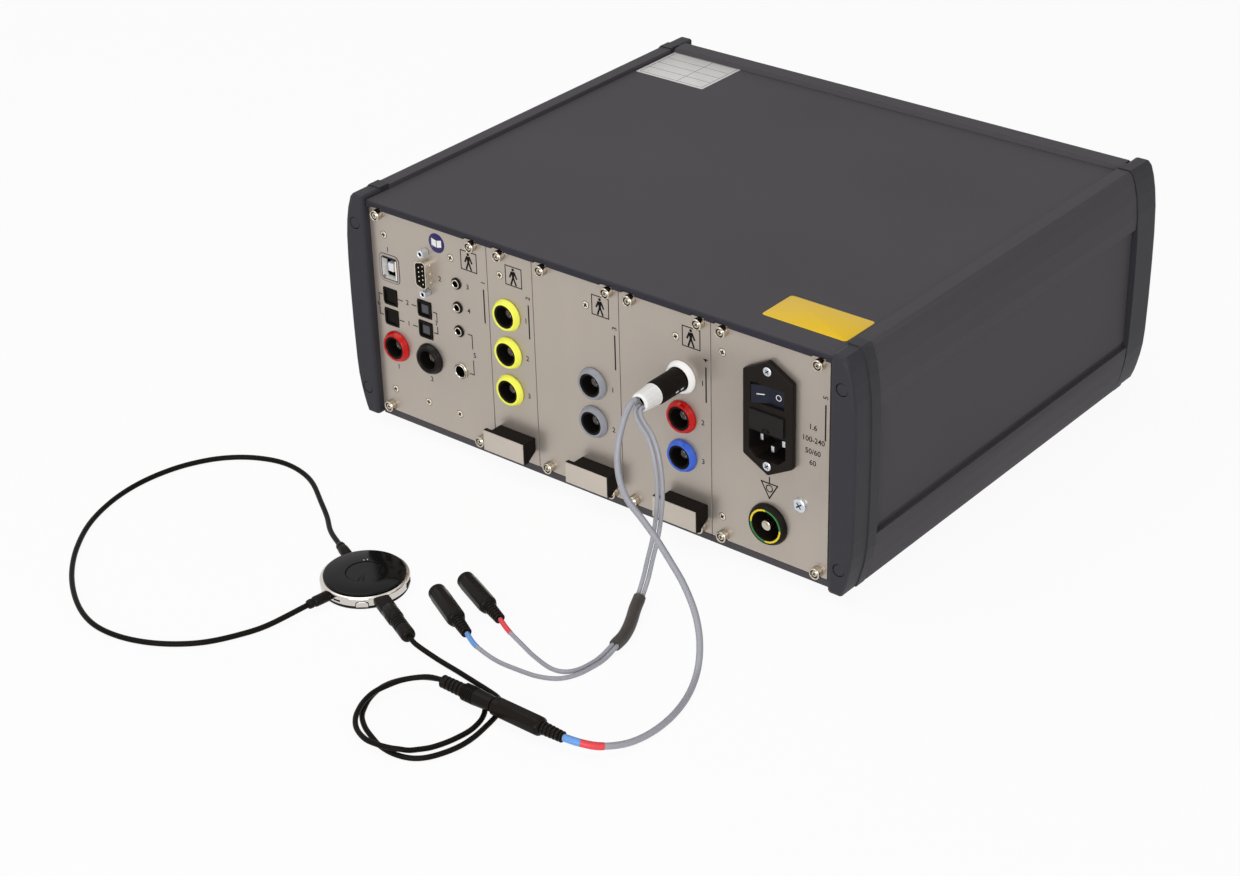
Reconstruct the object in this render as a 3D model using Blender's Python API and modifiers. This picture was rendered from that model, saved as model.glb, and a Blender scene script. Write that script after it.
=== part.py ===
"""Rack-built audiometer with its plug-in modules, patient cords and round hand remote.

All lengths are in metres and +Z is up. The design is laid out from the lower left
corner of the connector panels: X runs right along the panels, Y runs away from the
viewer into the case and Z runs up. The function at() moves a place from there into the
part's own frame, whose origin is the middle of the footprint, on the table.
"""

import math

import bmesh
import bpy
from mathutils import Matrix, Quaternion, Vector

# Clearances and rounds shared by many pieces
GAP = 0.0003
OVERRUN = 0.001
EDGE_ROUND = 0.0006
WELD = 0.00001

# Case, seen from the connector side
INNER_SLACK = 0.0028
CASE_DEPTH = 0.3049
CHEEK_PROUD = 0.0049
CHEEK_WIDTH = 0.0158
CHEEK_THICKNESS = 0.0172
CHEEK_EDGE_ROUND = 0.0022
SILL_HEIGHT = 0.0045
CHEEK_OVER_PANEL = 0.0070
FOOT_HEIGHT = 0.0060
FOOT_RADIUS = 0.009
FOOT_INSET_X = 0.030
FOOT_INSET_Y = 0.045
COLLAR_THICKNESS = 0.0053
COLLAR_PROUD = 0.0006
CAP_RADIUS = 0.0038
CAP_POCKET = 0.0020
CAP_ACROSS_SHARE = 0.46
CAP_HEIGHT_SHARES = (0.117, 0.872)

# Share of the cheek's width outwards, share of its height upwards
CHEEK_OUTLINE_SHARES = (
    (0, 0), (0.53, 0), (0.64, 0.032), (0.73, 0.068), (0.833, 0.118), (0.915, 0.175),
    (0.957, 0.246), (0.99, 0.40), (1, 0.56), (0.99, 0.70), (0.945, 0.818), (0.87, 0.889),
    (0.765, 0.946), (0.65, 0.984), (0.52, 1), (0, 1),
)

# Side walls: the upper and lower rail of each, as shares of the width outwards and the height
RAIL_WIDTH = 0.0152
RAIL_TOP_HEIGHT = 0.0342
RAIL_LOW_HEIGHT = 0.0303
RAIL_TOP_OUTER_SHARES = (
    (0, 1), (0.53, 1), (0.66, 0.95), (0.785, 0.80), (0.915, 0.547), (0.99, 0.215), (0.99, 0),
)
RAIL_TOP_INNER_SHARES = ((0.60, 0), (0.60, 0.766), (0, 0.766))
RAIL_LOW_OUTER_SHARES = ((0.99, 1), (0.95, 0.743), (0.835, 0.4125), (0.70, 0.14), (0.60, 0), (0, 0))
RAIL_LOW_INNER_SHARES = ((0, 0.23), (0.60, 0.23), (0.60, 1))

# Sheet pieces of the case
COVER_THICKNESS = 0.0017
COVER_BELOW_RAIL = 0.0025
LIP_OUT = 0.0025
LIP_THICKNESS = 0.0020
LIP_ROUND = 0.0016
LIP_NOTCH_WIDTH = 0.0086
LIP_NOTCH_HEIGHT = 0.0018
SIDE_THICKNESS = 0.0020
SIDE_RECESS = 0.0024
SIDE_GROOVE_HEIGHT = 0.0031
SIDE_GROOVE_DEPTH = 0.0012
BOTTOM_THICKNESS = 0.0015
BOTTOM_LIFT = 0.0001
FRONT_THICKNESS = 0.0025
FRONT_INSET = 0.0055

# Cross rails that the modules screw on, each with a channel for a tapped strip
SILL_DEPTH = 0.010
SILL_UPSTAND = 0.008
LINTEL_DEPTH = 0.009
LINTEL_HEIGHT = 0.012
STRIP_HEIGHT = 0.0048
STRIP_THICKNESS = 0.0025
STRIP_BITE = 0.0015

# The far end: a panel with a sill below and a raised band above
BAND_DEPTH = 0.0145
BAND_BACK = 0.006
BAND_PROUD = 0.0023
BAND_HEIGHT = 0.0078
BAND_ROUND_SHARE = 0.25
FAR_FLANGE = 0.002

# Modules, from left to right
PANEL_HEIGHT = 0.1285
PANEL_THICKNESS = 0.0025
PANEL_SEAM = 0.0004
CONTROL_WIDTH = 0.0884
AIR_WIDTH = 0.0328
BONE_WIDTH = 0.0605
FIELD_WIDTH = 0.0612
POWER_WIDTH = 0.0753

# Captive collar screws: distance from each module's left edge and, where it has two, its right edge
SCREW_INSETS = (
    (0.00745, 0.00983), (0.01049, None), (0.00817, 0.00661), (0.00863, 0.00685), (0.00839, 0.00595),
)
SCREW_ROW_LOW = 0.003
COLLAR_SCREW_RADIUS = 0.00325
COLLAR_SCREW_OUT = 0.0039
COLLAR_SCREW_BORE = 0.0022
COLLAR_SCREW_BORE_DEPTH = 0.0009
COLLAR_SCREW_SHANK = 0.0013
SHANK_CLEARANCE = 0.0003

# Places on each panel: share of the module's width, share of the panel's height
USB_SHARE = (0.147, 0.7235)
SERIAL_SHARE = (0.481, 0.7735)
JACK_SHARES = ((0.7325, 0.766), (0.7325, 0.6505), (0.7325, 0.5345))
BIG_JACK_SHARE = (0.7325, 0.338)
OPTICAL_SHARES = {
    "in_upper": (0.136, 0.581), "in_lower": (0.136, 0.479),
    "out_upper": (0.4365, 0.581), "out_lower": (0.4365, 0.479),
}
LINE_SOCKET_SHARES = ((0.1674, 0.341), (0.4615, 0.341))
AIR_SOCKET_SHARES = ((0.41, 0.6996), (0.41, 0.5175), (0.41, 0.3346))
BONE_SOCKET_SHARES = ((0.679, 0.517), (0.679, 0.334))
FIELD_SOCKET_SHARES = ((0.681, 0.6996), (0.681, 0.5146), (0.681, 0.331))
INLET_SHARE = (0.515, 0.663)
EARTH_SHARE = (0.4995, 0.161)

# Round coloured sockets
RING_BASE_RADIUS = 0.0095
RING_FACE_RADIUS = 0.0083
RING_OUT = 0.0035
RING_BORE = 0.0069
RING_SHOULDER = 0.0006
RING_LIP = 0.0005
CUP_RADIUS = 0.0066
CUP_BORE = 0.0057
CUP_BACK = 0.016
CUP_FLOOR = 0.002
STUD_RADIUS = 0.0028
STUD_DEPTH = 0.0052

# Small boards that carry the sockets of one kind behind their panel
CARRIER_THICKNESS = 0.0016
CARRIER_BITE = 0.0008
CARRIER_HALF_WIDTH = 0.0034
CARRIER_MARGIN = 0.0060

# Square data socket
USB_WIDTH = 0.0150
USB_HEIGHT = 0.0172
USB_CORNER = 0.0022
USB_OUT = 0.0008
USB_DEPTH = 0.0135
USB_MOUTH_WIDTH = 0.0116
USB_MOUTH_HEIGHT = 0.0138
USB_MOUTH_DEPTH = 0.0115
TONGUE_WIDTH = 0.0062
TONGUE_HEIGHT = 0.0072
TONGUE_RECESS = 0.0052

# Nine-way serial plug with its hexagonal posts
SERIAL_LENGTH = 0.0169
SERIAL_WIDTH = 0.0083
SERIAL_TAPER = 0.0008
SERIAL_CORNER = 0.0026
SERIAL_WALL = 0.0006
SERIAL_OUT = 0.0058
SERIAL_BACK = 0.008
SERIAL_FLANGE_WIDTH = 0.0125
SERIAL_FLANGE_LENGTH = 0.0306
SERIAL_FLANGE_THICKNESS = 0.0012
POST_PITCH = 0.025
POST_RADIUS = 0.00285
POST_OUT = 0.0050
POST_BORE = 0.0014
POST_BORE_DEPTH = 0.0035
POST_SHANK = 0.0013

# Small and large jack sockets
JACK_RADIUS = 0.0024
JACK_BORE = 0.00175
JACK_OUT = 0.0016
JACK_BACK = 0.011
JACK_FLOOR = 0.001
NUT_RADIUS = 0.0030
NUT_HEIGHT = 0.0008
BIG_JACK_RADIUS = 0.0040
BIG_JACK_BORE = 0.00315
BIG_JACK_BACK = 0.018
BIG_NUT_RADIUS = 0.0050

# Square optical sockets, each with a sprung flap
OPTICAL_SIDE = 0.0103
OPTICAL_OUT = 0.0006
OPTICAL_DEPTH = 0.0125
OPTICAL_MOUTH = 0.0082
OPTICAL_MOUTH_DEPTH = 0.0110
FLAP_THICKNESS = 0.0008
FLAP_RECESS = 0.0008

# Mains inlet with rocker switch and fuse drawer
INLET_WIDTH = 0.0320
INLET_FLAT_HEIGHT = 0.0496
INLET_APEX_HEIGHT = 0.0670
INLET_FLANGE = 0.0035
INLET_BEVEL = 0.0010
INLET_BODY_WIDTH = 0.0262
INLET_BODY_ABOVE = 0.0209
INLET_BODY_BELOW = 0.0262
INLET_BODY_CHAMFER = 0.0050
INLET_BODY_DEPTH = 0.0240
ROCKER_CENTRE = 0.0134
ROCKER_WELL_WIDTH = 0.0212
ROCKER_WELL_HEIGHT = 0.0110
ROCKER_WELL_DEPTH = 0.0115
ROCKER_WIDTH = 0.0188
ROCKER_TILT_DEG = 12
ROCKER_PIVOT_DEPTH = 0.0020
ROCKER_END_DEPTH = 0.0020
ROCKER_ROOT_DEPTH = 0.0045
ROCKER_ROOT_SHARE = 0.6
DRAWER_CENTRE = -0.0018
DRAWER_WIDTH = 0.0222
DRAWER_HEIGHT = 0.0116
DRAWER_DEPTH = 0.0200
DRAWER_FACE_OUT = 0.0012
DRAWER_GRIP_WIDTH = 0.0046
DRAWER_GRIP_HEIGHT = 0.0016
DRAWER_GRIP_DEPTH = 0.0012
CAVITY_CENTRE = -0.0168
CAVITY_WIDTH = 0.0232
CAVITY_HEIGHT = 0.0158
CAVITY_CHAMFER = 0.0045
CAVITY_DEPTH = 0.0190
PIN_WIDTH = 0.0020
PIN_HEIGHT = 0.0040
PIN_RECESS = 0.0052
PIN_SPREAD = 0.0070
PIN_RISE = 0.0022
PIN_DROP = 0.0030

# Earth terminal
EARTH_RADIUS = 0.0120
EARTH_FACE_RADIUS = 0.0108
EARTH_OUT = 0.0037
EARTH_BORE = 0.0086
EARTH_BACK = 0.0120
EARTH_FLOOR = 0.0025
EARTH_SHANK = 0.0100
EARTH_PIN_RADIUS = 0.0030
EARTH_PIN_TIP_RADIUS = 0.0024
EARTH_PIN_RECESS = 0.0004

# Pull handles of the three patient modules
HANDLE_RIGHT_MARGIN = 0.0026
HANDLE_PLATE_WIDTH = 0.0304
HANDLE_PLATE_LOW = 0.0046
HANDLE_PLATE_HIGH = 0.0177
HANDLE_PLATE_OUT = 0.0098
HANDLE_PLATE_THICKNESS = 0.0010
HANDLE_WING = 0.0042
HANDLE_WALL = 0.0015
HANDLE_ROOT_LOW = 0.0096
HANDLE_BACKING = 0.0013

# Boards and power unit inside
BOARD_THICKNESS = 0.0016
BOARD_LENGTH = 0.160
BOARD_LOW = 0.014
BOARD_HEADROOM = 0.0145
BOARD_SHARES = (0.62, 0.78, 0.25, 0.22)
BACKPLANE_THICKNESS = 0.0024
BACKPLANE_LOW = 0.0085
BACKPLANE_HEADROOM = 0.0110
BACKPLANE_MARGIN = 0.006
CONNECTOR_DEPTH = 0.0085
CONNECTOR_WIDTH = 0.0100
CONNECTOR_INSET = 0.006
POWER_UNIT_START = 0.045
POWER_UNIT_LENGTH = 0.160
POWER_UNIT_HEADROOM = 0.0235
POWER_UNIT_INSET = 0.007

# Patient plug in the upper socket of the field module
PLUG_NOSE_RADIUS = 0.0053
PLUG_NOSE_DEPTH = 0.0045
PLUG_RADIUS = 0.0067
PLUG_OUT = 0.0230
PLUG_STEP = 0.0008
COLLET_BASE_RADIUS = 0.0062
COLLET_END_RADIUS = 0.0050
COLLET_OUT = 0.0360
COLLET_CHAMFER = 0.0008

# Cords, and the sleeve that holds the two ear leads together
REMOTE_CABLE_RADIUS = 0.00175
EAR_LEAD_RADIUS = 0.0012
EAR_LEAD_SPACING = 0.0027
EAR_LEAD_SETTLE = 0.0120
SLEEVE_RADIUS = 0.0034
SLEEVE_BORE = 0.0029
BLACK_CORD_RADIUS = 0.0014
NECK_CORD_RADIUS = 0.0015

# In-line sockets with ribbed boots, and the jack plug in one of them
SOCKET_BODY_RADIUS = 0.00525
SOCKET_BODY_LENGTH = 0.0290
SOCKET_MOUTH_BORE = 0.00175
SOCKET_MOUTH_DEPTH = 0.0140
SOCKET_CHAMFER = 0.0008
SOCKET_SHOULDER = 0.0035
BOOT_LENGTH = 0.0145
BOOT_ROOT_RADIUS = 0.0039
BOOT_END_RADIUS = 0.0029
BOOT_RIB_DEPTH = 0.0007
BOOT_RIBS = 5
JACK_GRIP_RADIUS = 0.0046
JACK_GRIP_LENGTH = 0.0180
JACK_BOOT_LENGTH = 0.0160
JACK_BOOT_END_RADIUS = 0.0032
JACK_PIN_RADIUS = 0.0014
JACK_PIN_LENGTH = 0.0130

# Places of the in-line sockets: end of the boot, and the way that the mouth points
RED_SOCKET_END = (0.2004, -0.1247)
RED_SOCKET_TURN_DEG = 156.3
BLUE_SOCKET_END = (0.1953, -0.1447)
BLUE_SOCKET_TURN_DEG = 153.1
REMOTE_SOCKET_END = (0.2953, -0.1865)
REMOTE_SOCKET_TURN_DEG = 180
CORD_PASS_GAP = 0.0004

# Round hand remote
REMOTE_CENTRE = (0.1165, -0.1376)
REMOTE_RADIUS = 0.0240
REMOTE_BASE_HEIGHT = 0.0016
REMOTE_BASE_TAPER = 0.0007
REMOTE_RING_HEIGHT = 0.0054
REMOTE_RING_WALL = 0.0030
REMOTE_RING_ROUND = 0.0006
REMOTE_FACE_RADIUS = 0.0222
REMOTE_FACE_HEIGHT = 0.0011
REMOTE_BUTTON_RADIUS = 0.0100
REMOTE_BUTTON_HEIGHT = 0.0016
REMOTE_BUTTON_SINK = 0.0003
RIM_BUTTON_TURN_DEG = -50
RIM_BUTTON_LENGTH = 0.0065
RIM_BUTTON_HEIGHT = 0.0032
RIM_BUTTON_ARCH = 0.0012
RIM_BUTTON_ARCH_STEPS = 6
RIM_BUTTON_DEPTH = 0.0028
RIM_BUTTON_PROUD = 0.0004
REMOTE_PLUG_TURN_DEG = -25.1
REMOTE_PLUG_LENGTH = 0.0390
REMOTE_PLUG_NECK_RADIUS = 0.0030
REMOTE_PLUG_GRIP_RADIUS = 0.0042
REMOTE_PLUG_NECK_SHARE = 0.18
REMOTE_PLUG_BOOT_SHARE = 0.58
NECK_END_TURNS_DEG = (155.1, 261.2)
NECK_END_LENGTH = 0.0135
NECK_END_RADIUS = 0.0030
NECK_END_TIP_RADIUS = 0.0026

# Counts of sides and steps
SIDES_LARGE = 24
SIDES_MEDIUM = 16
SIDES_SMALL = 12
SIDES_SCREW = 8
SIDES_POST = 6
SIDES_SOCKET = 8
CURVE_POINTS = 24
TUBE_RESOLUTION = 2
CORD_RESOLUTION = 1
BEVEL_SEGMENTS = 2
SMOOTH_ANGLE_DEG = 35

# Routes of the cords, chosen by hand, as places in the panels' frame
CABLE_EXIT = (0.2215, -0.0363, 0.0911)
CABLE_ROUTE = (
    (0.2215, -0.0390, 0.0909), (0.2214, -0.0425, 0.0884), (0.2219, -0.0472, 0.0826),
    (0.2228, -0.0520, 0.0745),
    (0.2250, -0.0562, 0.0655), (0.2298, -0.0602, 0.0570), (0.2378, -0.0638, 0.0498),
    (0.2486, -0.0668, 0.0450), (0.2600, -0.0700, 0.0394), (0.2724, -0.0740, 0.0322),
    (0.2846, -0.0780, 0.0240), (0.2962, -0.0838, 0.0140), (0.3046, -0.0912, 0.0040),
    (0.3105, -0.1010, -0.0050), (0.3168, -0.1167, -0.0083), (0.3212, -0.1353, -0.0086),
    (0.3216, -0.1525, -0.0084), (0.3186, -0.1670, -0.0074), (0.3120, -0.1790, -0.0050),
    (0.3040, -0.1848, -0.0030),
)
TRUNK_EXIT = (0.2254, -0.0363, 0.0886)
TRUNK_ROUTE = (
    (0.2254, -0.0373, 0.0886), (0.2256, -0.0390, 0.0884), (0.2276, -0.0417, 0.0868),
    (0.2318, -0.0436, 0.0838), (0.2372, -0.0450, 0.0802),
    (0.2415, -0.0464, 0.0748), (0.2446, -0.0478, 0.0682), (0.2468, -0.0490, 0.0592),
    (0.2481, -0.0506, 0.0490), (0.2484, -0.0528, 0.0366), (0.2478, -0.0550, 0.0256),
    (0.2464, -0.0574, 0.0148), (0.2452, -0.0602, 0.0034),
)
SLEEVE_ROUTE = (
    (0.2455, -0.0655, -0.0046), (0.2486, -0.0735, -0.0068), (0.2530, -0.0815, -0.00705),
    (0.2570, -0.0895, -0.00705), (0.2600, -0.0975, -0.00705), (0.2614, -0.1058, -0.00705),
)
RED_LEAD_ROUTE = (
    (0.2602, -0.1160, -0.0091), (0.2598, -0.1240, -0.0093),
    (0.2580, -0.1318, -0.0093), (0.2535, -0.1372, -0.0093), (0.2455, -0.1386, -0.0093),
    (0.2322, -0.1354, -0.0093), (0.2215, -0.1318, -0.0088), (0.2095, -0.1284, -0.0070),
)
BLUE_LEAD_ROUTE = (
    (0.2632, -0.1160, -0.0091), (0.2626, -0.1250, -0.0093),
    (0.2606, -0.1350, -0.0093), (0.2555, -0.1432, -0.0093), (0.2460, -0.1480, -0.0093),
    (0.2335, -0.1497, -0.0093), (0.2200, -0.1505, -0.0088), (0.2050, -0.1487, -0.0070),
)
CORD_ROUTE = (
    (0.2082, -0.1875, -0.00350), (0.2022, -0.1914, -0.00440), (0.1977, -0.1968, -0.00500),
    (0.1952, -0.2035, -0.00530), (0.1938, -0.2107, -0.00540), (0.1945, -0.2175, -0.00550),
    (0.1969, -0.2246, -0.00560), (0.2012, -0.2322, -0.00600), (0.2079, -0.2382, -0.00620),
    (0.2173, -0.2420, -0.00580), (0.2257, -0.2419, -0.00550), (0.2321, -0.2403, -0.00545),
    (0.2362, -0.2382, -0.00560), (0.2390, -0.2348, -0.00710), (0.2410, -0.2298, -0.00855),
    (0.2441, -0.2247, -0.00905), (0.2472, -0.2174, -0.00905), (0.2491, -0.2097, -0.00905),
    (0.2499, -0.2025, -0.00905), (0.2489, -0.1953, -0.00905), (0.2469, -0.1900, -0.00905),
    (0.2442, -0.1858, -0.00905), (0.2404, -0.1824, -0.00905), (0.2355, -0.1800, -0.00905),
    (0.2290, -0.1784, -0.00905), (0.2200, -0.1778, -0.00905), (0.2110, -0.1790, -0.00905),
    (0.2020, -0.1827, -0.00905), (0.1971, -0.1871, -0.00905), (0.1932, -0.1924, -0.00905),
    (0.1907, -0.1985, -0.00905), (0.1902, -0.2051, -0.00905), (0.1919, -0.2127, -0.00905),
    (0.1948, -0.2191, -0.00905), (0.1994, -0.2261, -0.00905), (0.2070, -0.2319, -0.00905),
    (0.2155, -0.2358, -0.00905), (0.2244, -0.2388, -0.00905), (0.2334, -0.2393, -0.00905),
    (0.2418, -0.2371, -0.00905), (0.2477, -0.2322, -0.00905), (0.2520, -0.2241, -0.00905),
    (0.2546, -0.2149, -0.00905), (0.2550, -0.2056, -0.00905), (0.2538, -0.1958, -0.00905),
    (0.2524, -0.1880, -0.00905), (0.2506, -0.1815, -0.00905), (0.2472, -0.1766, -0.00905),
    (0.2418, -0.1739, -0.00905), (0.2353, -0.1726, -0.00905), (0.2240, -0.1710, -0.00905),
    (0.2110, -0.1692, -0.00905), (0.1980, -0.1680, -0.00870), (0.1875, -0.1676, -0.00720),
    (0.1805, -0.1670, -0.00620),
)
NECK_ROUTE = (
    (0.0660, -0.1124, -0.0078), (0.0521, -0.1014, -0.0089), (0.0380, -0.0919, -0.0089),
    (0.0192, -0.0798, -0.0089), (0.0038, -0.0744, -0.0089), (-0.0116, -0.0737, -0.0089),
    (-0.0265, -0.0784, -0.0089), (-0.0390, -0.0868, -0.0089), (-0.0490, -0.0990, -0.0089),
    (-0.0567, -0.1166, -0.0089), (-0.0600, -0.1388, -0.0089), (-0.0575, -0.1618, -0.0089),
    (-0.0491, -0.1852, -0.0089), (-0.0350, -0.2067, -0.0089), (-0.0186, -0.2243, -0.0089),
    (-0.0008, -0.2381, -0.0089), (0.0169, -0.2477, -0.0089), (0.0330, -0.2521, -0.0089),
    (0.0493, -0.2515, -0.0089), (0.0647, -0.2468, -0.0089), (0.0785, -0.2387, -0.0089),
    (0.0898, -0.2279, -0.0089), (0.0985, -0.2133, -0.0089), (0.1046, -0.1980, -0.0086),
)
CORD_STEP = 0.0032
LEAST_CORD_GAP = 0.0004

# Values worked out from the driving dimensions
MODULE_WIDTHS = (CONTROL_WIDTH, AIR_WIDTH, BONE_WIDTH, FIELD_WIDTH, POWER_WIDTH)
INNER_WIDTH = sum(MODULE_WIDTHS) + INNER_SLACK
CHEEK_HEIGHT = SILL_HEIGHT + PANEL_HEIGHT + CHEEK_OVER_PANEL
SCREW_ROW_HIGH = PANEL_HEIGHT - SCREW_ROW_LOW
BOARD_HIGH = PANEL_HEIGHT - BOARD_HEADROOM
BACKPLANE_HIGH = PANEL_HEIGHT - BACKPLANE_HEADROOM
POWER_UNIT_TOP = PANEL_HEIGHT - POWER_UNIT_HEADROOM
TABLE = -(SILL_HEIGHT + FOOT_HEIGHT)
CASE_NEAR = -CHEEK_PROUD
CASE_FAR = CASE_DEPTH - CHEEK_PROUD
CASE_BOTTOM = -SILL_HEIGHT
CASE_TOP = CASE_BOTTOM + CHEEK_HEIGHT
COVER_TOP = CASE_TOP - COVER_BELOW_RAIL
RAIL_NEAR = CASE_NEAR + CHEEK_THICKNESS + COLLAR_THICKNESS + GAP
RAIL_FAR = CASE_FAR - CHEEK_THICKNESS - COLLAR_THICKNESS - GAP
BAND_FAR = CASE_FAR - BAND_BACK
BAND_NEAR = BAND_FAR - BAND_DEPTH
PANEL_BACK = PANEL_THICKNESS + GAP
BOTTOM_TOP = CASE_BOTTOM + BOTTOM_LIFT + BOTTOM_THICKNESS
LINTEL_TOP = COVER_TOP - COVER_THICKNESS - GAP
STRIP_FRONT = PANEL_BACK + GAP
FRAME_X = INNER_WIDTH / 2
FRAME_Y = (CASE_FAR + REMOTE_CENTRE[1] - REMOTE_RADIUS) / 2
REMOTE_RING_LOW = TABLE + REMOTE_BASE_HEIGHT + GAP
REMOTE_RING_TOP = REMOTE_RING_LOW + REMOTE_RING_HEIGHT
REMOTE_FACE_LOW = REMOTE_RING_TOP + GAP
REMOTE_FACE_TOP = REMOTE_FACE_LOW + REMOTE_FACE_HEIGHT
REMOTE_MIDDLE = (REMOTE_RING_LOW + REMOTE_RING_TOP) / 2
SOCKET_LYING = TABLE + SOCKET_BODY_RADIUS
SOCKET_RAISED = TABLE + 2 * BLACK_CORD_RADIUS + CORD_PASS_GAP + JACK_GRIP_RADIUS

OUTWARDS = Vector((0, -1, 0))
UPWARDS = Vector((0, 0, 1))
ACROSS_HANG = Vector((-0.6, 0.7, 0))


def at(x, y, z):
    """A place in the panels' frame, as a place in the part's frame."""
    return Vector((x - FRAME_X, y - FRAME_Y, z - TABLE))


def module_left(index):
    """Left edge of a module, counted from the left."""
    return sum(MODULE_WIDTHS[:index]) + PANEL_SEAM / 2


def screw_places(index):
    """Distances along the panels of the collar screws that sit on one module."""
    left = sum(MODULE_WIDTHS[:index])
    from_left, from_right = SCREW_INSETS[index]
    places = [left + from_left]
    if from_right is not None:
        places.append(left + MODULE_WIDTHS[index] - from_right)
    return places


def all_screw_places():
    return [x for index in range(len(MODULE_WIDTHS)) for x in screw_places(index)]


def panel_place(index, share):
    """A place on a module's panel from its shares of the width and the height."""
    return module_left(index) + share[0] * MODULE_WIDTHS[index], share[1] * PANEL_HEIGHT


def clear_scene():
    for item in list(bpy.data.objects):
        bpy.data.objects.remove(item, do_unlink=True)


def make_collections():
    """One collection for the parts and one for the cutters."""
    for name in ("audiometer", "cutters"):
        collection = bpy.data.collections.get(name) or bpy.data.collections.new(name)
        if name not in bpy.context.scene.collection.children:
            bpy.context.scene.collection.children.link(collection)


def paint(name, colour, roughness, metallic=0.0):
    """A Principled material with a plain colour."""
    material = bpy.data.materials.get(name)
    if material:
        return material
    material = bpy.data.materials.new(name)
    material.use_nodes = True
    shader = material.node_tree.nodes["Principled BSDF"]
    shader.inputs["Base Color"].default_value = (*colour, 1)
    shader.inputs["Roughness"].default_value = roughness
    shader.inputs["Metallic"].default_value = metallic
    material.diffuse_color = (*colour, 1)
    return material


def case_paint():
    return paint("case_paint", (0.060, 0.060, 0.068), 0.55)


def cheek_plastic():
    return paint("cheek_plastic", (0.050, 0.050, 0.060), 0.5)


def panel_metal():
    return paint("panel_metal", (0.42, 0.39, 0.35), 0.45, 0.6)


def black_plastic():
    return paint("black_plastic", (0.012, 0.012, 0.013), 0.45)


def nickel():
    return paint("nickel", (0.62, 0.57, 0.50), 0.25, 1.0)


def zinc():
    return paint("zinc", (0.62, 0.66, 0.72), 0.3, 1.0)


def rubber():
    return paint("rubber", (0.02, 0.02, 0.02), 0.8)


def board_green():
    return paint("board_green", (0.02, 0.16, 0.06), 0.5)


def galvanised():
    return paint("galvanised", (0.45, 0.46, 0.47), 0.4, 1.0)


def grey_cord():
    return paint("grey_cord", (0.24, 0.25, 0.28), 0.5)


def plain_colour(name, colour):
    return paint(name, colour, 0.4)


def link(item, material=None, cutter=False):
    """Put an object in its collection and give it its material."""
    bpy.data.collections["cutters" if cutter else "audiometer"].objects.link(item)
    if cutter:
        item.hide_render = True
        item.display_type = "WIRE"
    if material:
        item.data.materials.clear()
        item.data.materials.append(material)
    return item


def finish_mesh(name, work, material, place, turn=None, cutter=False):
    """Turn a bmesh into an object at a place."""
    mesh = bpy.data.meshes.new(name)
    work.to_mesh(mesh)
    work.free()
    item = bpy.data.objects.new(name, mesh)
    item.location = place
    if turn is not None:
        item.rotation_mode = "QUATERNION"
        item.rotation_quaternion = turn
    return link(item, material, cutter)


def box(name, low, high, material=None, cutter=False):
    """A block between two corners, given in the panels' frame."""
    low, high = Vector(low), Vector(high)
    work = bmesh.new()
    bmesh.ops.create_cube(work, size=1)
    bmesh.ops.scale(work, vec=high - low, verts=work.verts)
    return finish_mesh(name, work, material, at(*((low + high) / 2)), cutter=cutter)


def turn_to(direction):
    """The rotation that carries +Z to a direction."""
    return Vector(direction).normalized().to_track_quat("Z", "Y")


def rod(name, radius, low, high, place, direction, sides, material=None, cutter=False):
    """A cylinder along a direction, between two distances from a place."""
    work = bmesh.new()
    bmesh.ops.create_cone(work, cap_ends=True, segments=sides, radius1=radius, radius2=radius,
                          depth=high - low)
    bmesh.ops.translate(work, vec=UPWARDS * (low + high) / 2, verts=work.verts)
    return finish_mesh(name, work, material, at(*place), turn_to(direction), cutter)


def turned(name, profile, place, direction, sides, material=None, closed=False, cutter=False):
    """A profile of (radius, height) points, spun round a direction by a Screw modifier.

    It runs from the axis over the top and down the outer side, and back to the axis or,
    where it is closed, up the bore to its start.
    """
    mesh = bpy.data.meshes.new(name)
    edges = [(i, i + 1) for i in range(len(profile) - 1)]
    if closed:
        edges.append((len(profile) - 1, 0))
    mesh.from_pydata([(radius, 0, height) for radius, height in profile], edges, [])
    item = bpy.data.objects.new(name, mesh)
    item.location = at(*place)
    item.rotation_mode = "QUATERNION"
    item.rotation_quaternion = turn_to(direction)
    link(item, material, cutter)
    screw = item.modifiers.new("spin", "SCREW")
    screw.steps = screw.render_steps = sides
    screw.use_merge_vertices = True
    screw.merge_threshold = WELD
    return item


def prism(name, outline, low, high, plane, material=None, cutter=False):
    """A flat outline in a plane of the panels' frame, thickened between two distances."""
    curve = bpy.data.curves.new(name, "CURVE")
    curve.dimensions = "2D"
    curve.fill_mode = "BOTH"
    curve.extrude = (high - low) / 2
    spline = curve.splines.new("POLY")
    spline.points.add(len(outline) - 1)
    for point, (across, along) in zip(spline.points, outline):
        point.co = (across, along, 0, 1)
    spline.use_cyclic_u = True
    middle = (low + high) / 2
    quarter = math.pi / 2
    settings = {
        "xz": ((quarter, 0, 0), (0, middle, 0)),
        "yz": ((quarter, 0, quarter), (middle, 0, 0)),
        "xy": ((0, 0, 0), (0, 0, middle)),
    }
    turn, place = settings[plane]
    guide = bpy.data.objects.new(name, curve)
    guide.rotation_euler = turn
    guide.location = at(*place)
    link(guide, cutter=True)
    return as_mesh(guide, name, material, cutter)


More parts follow.
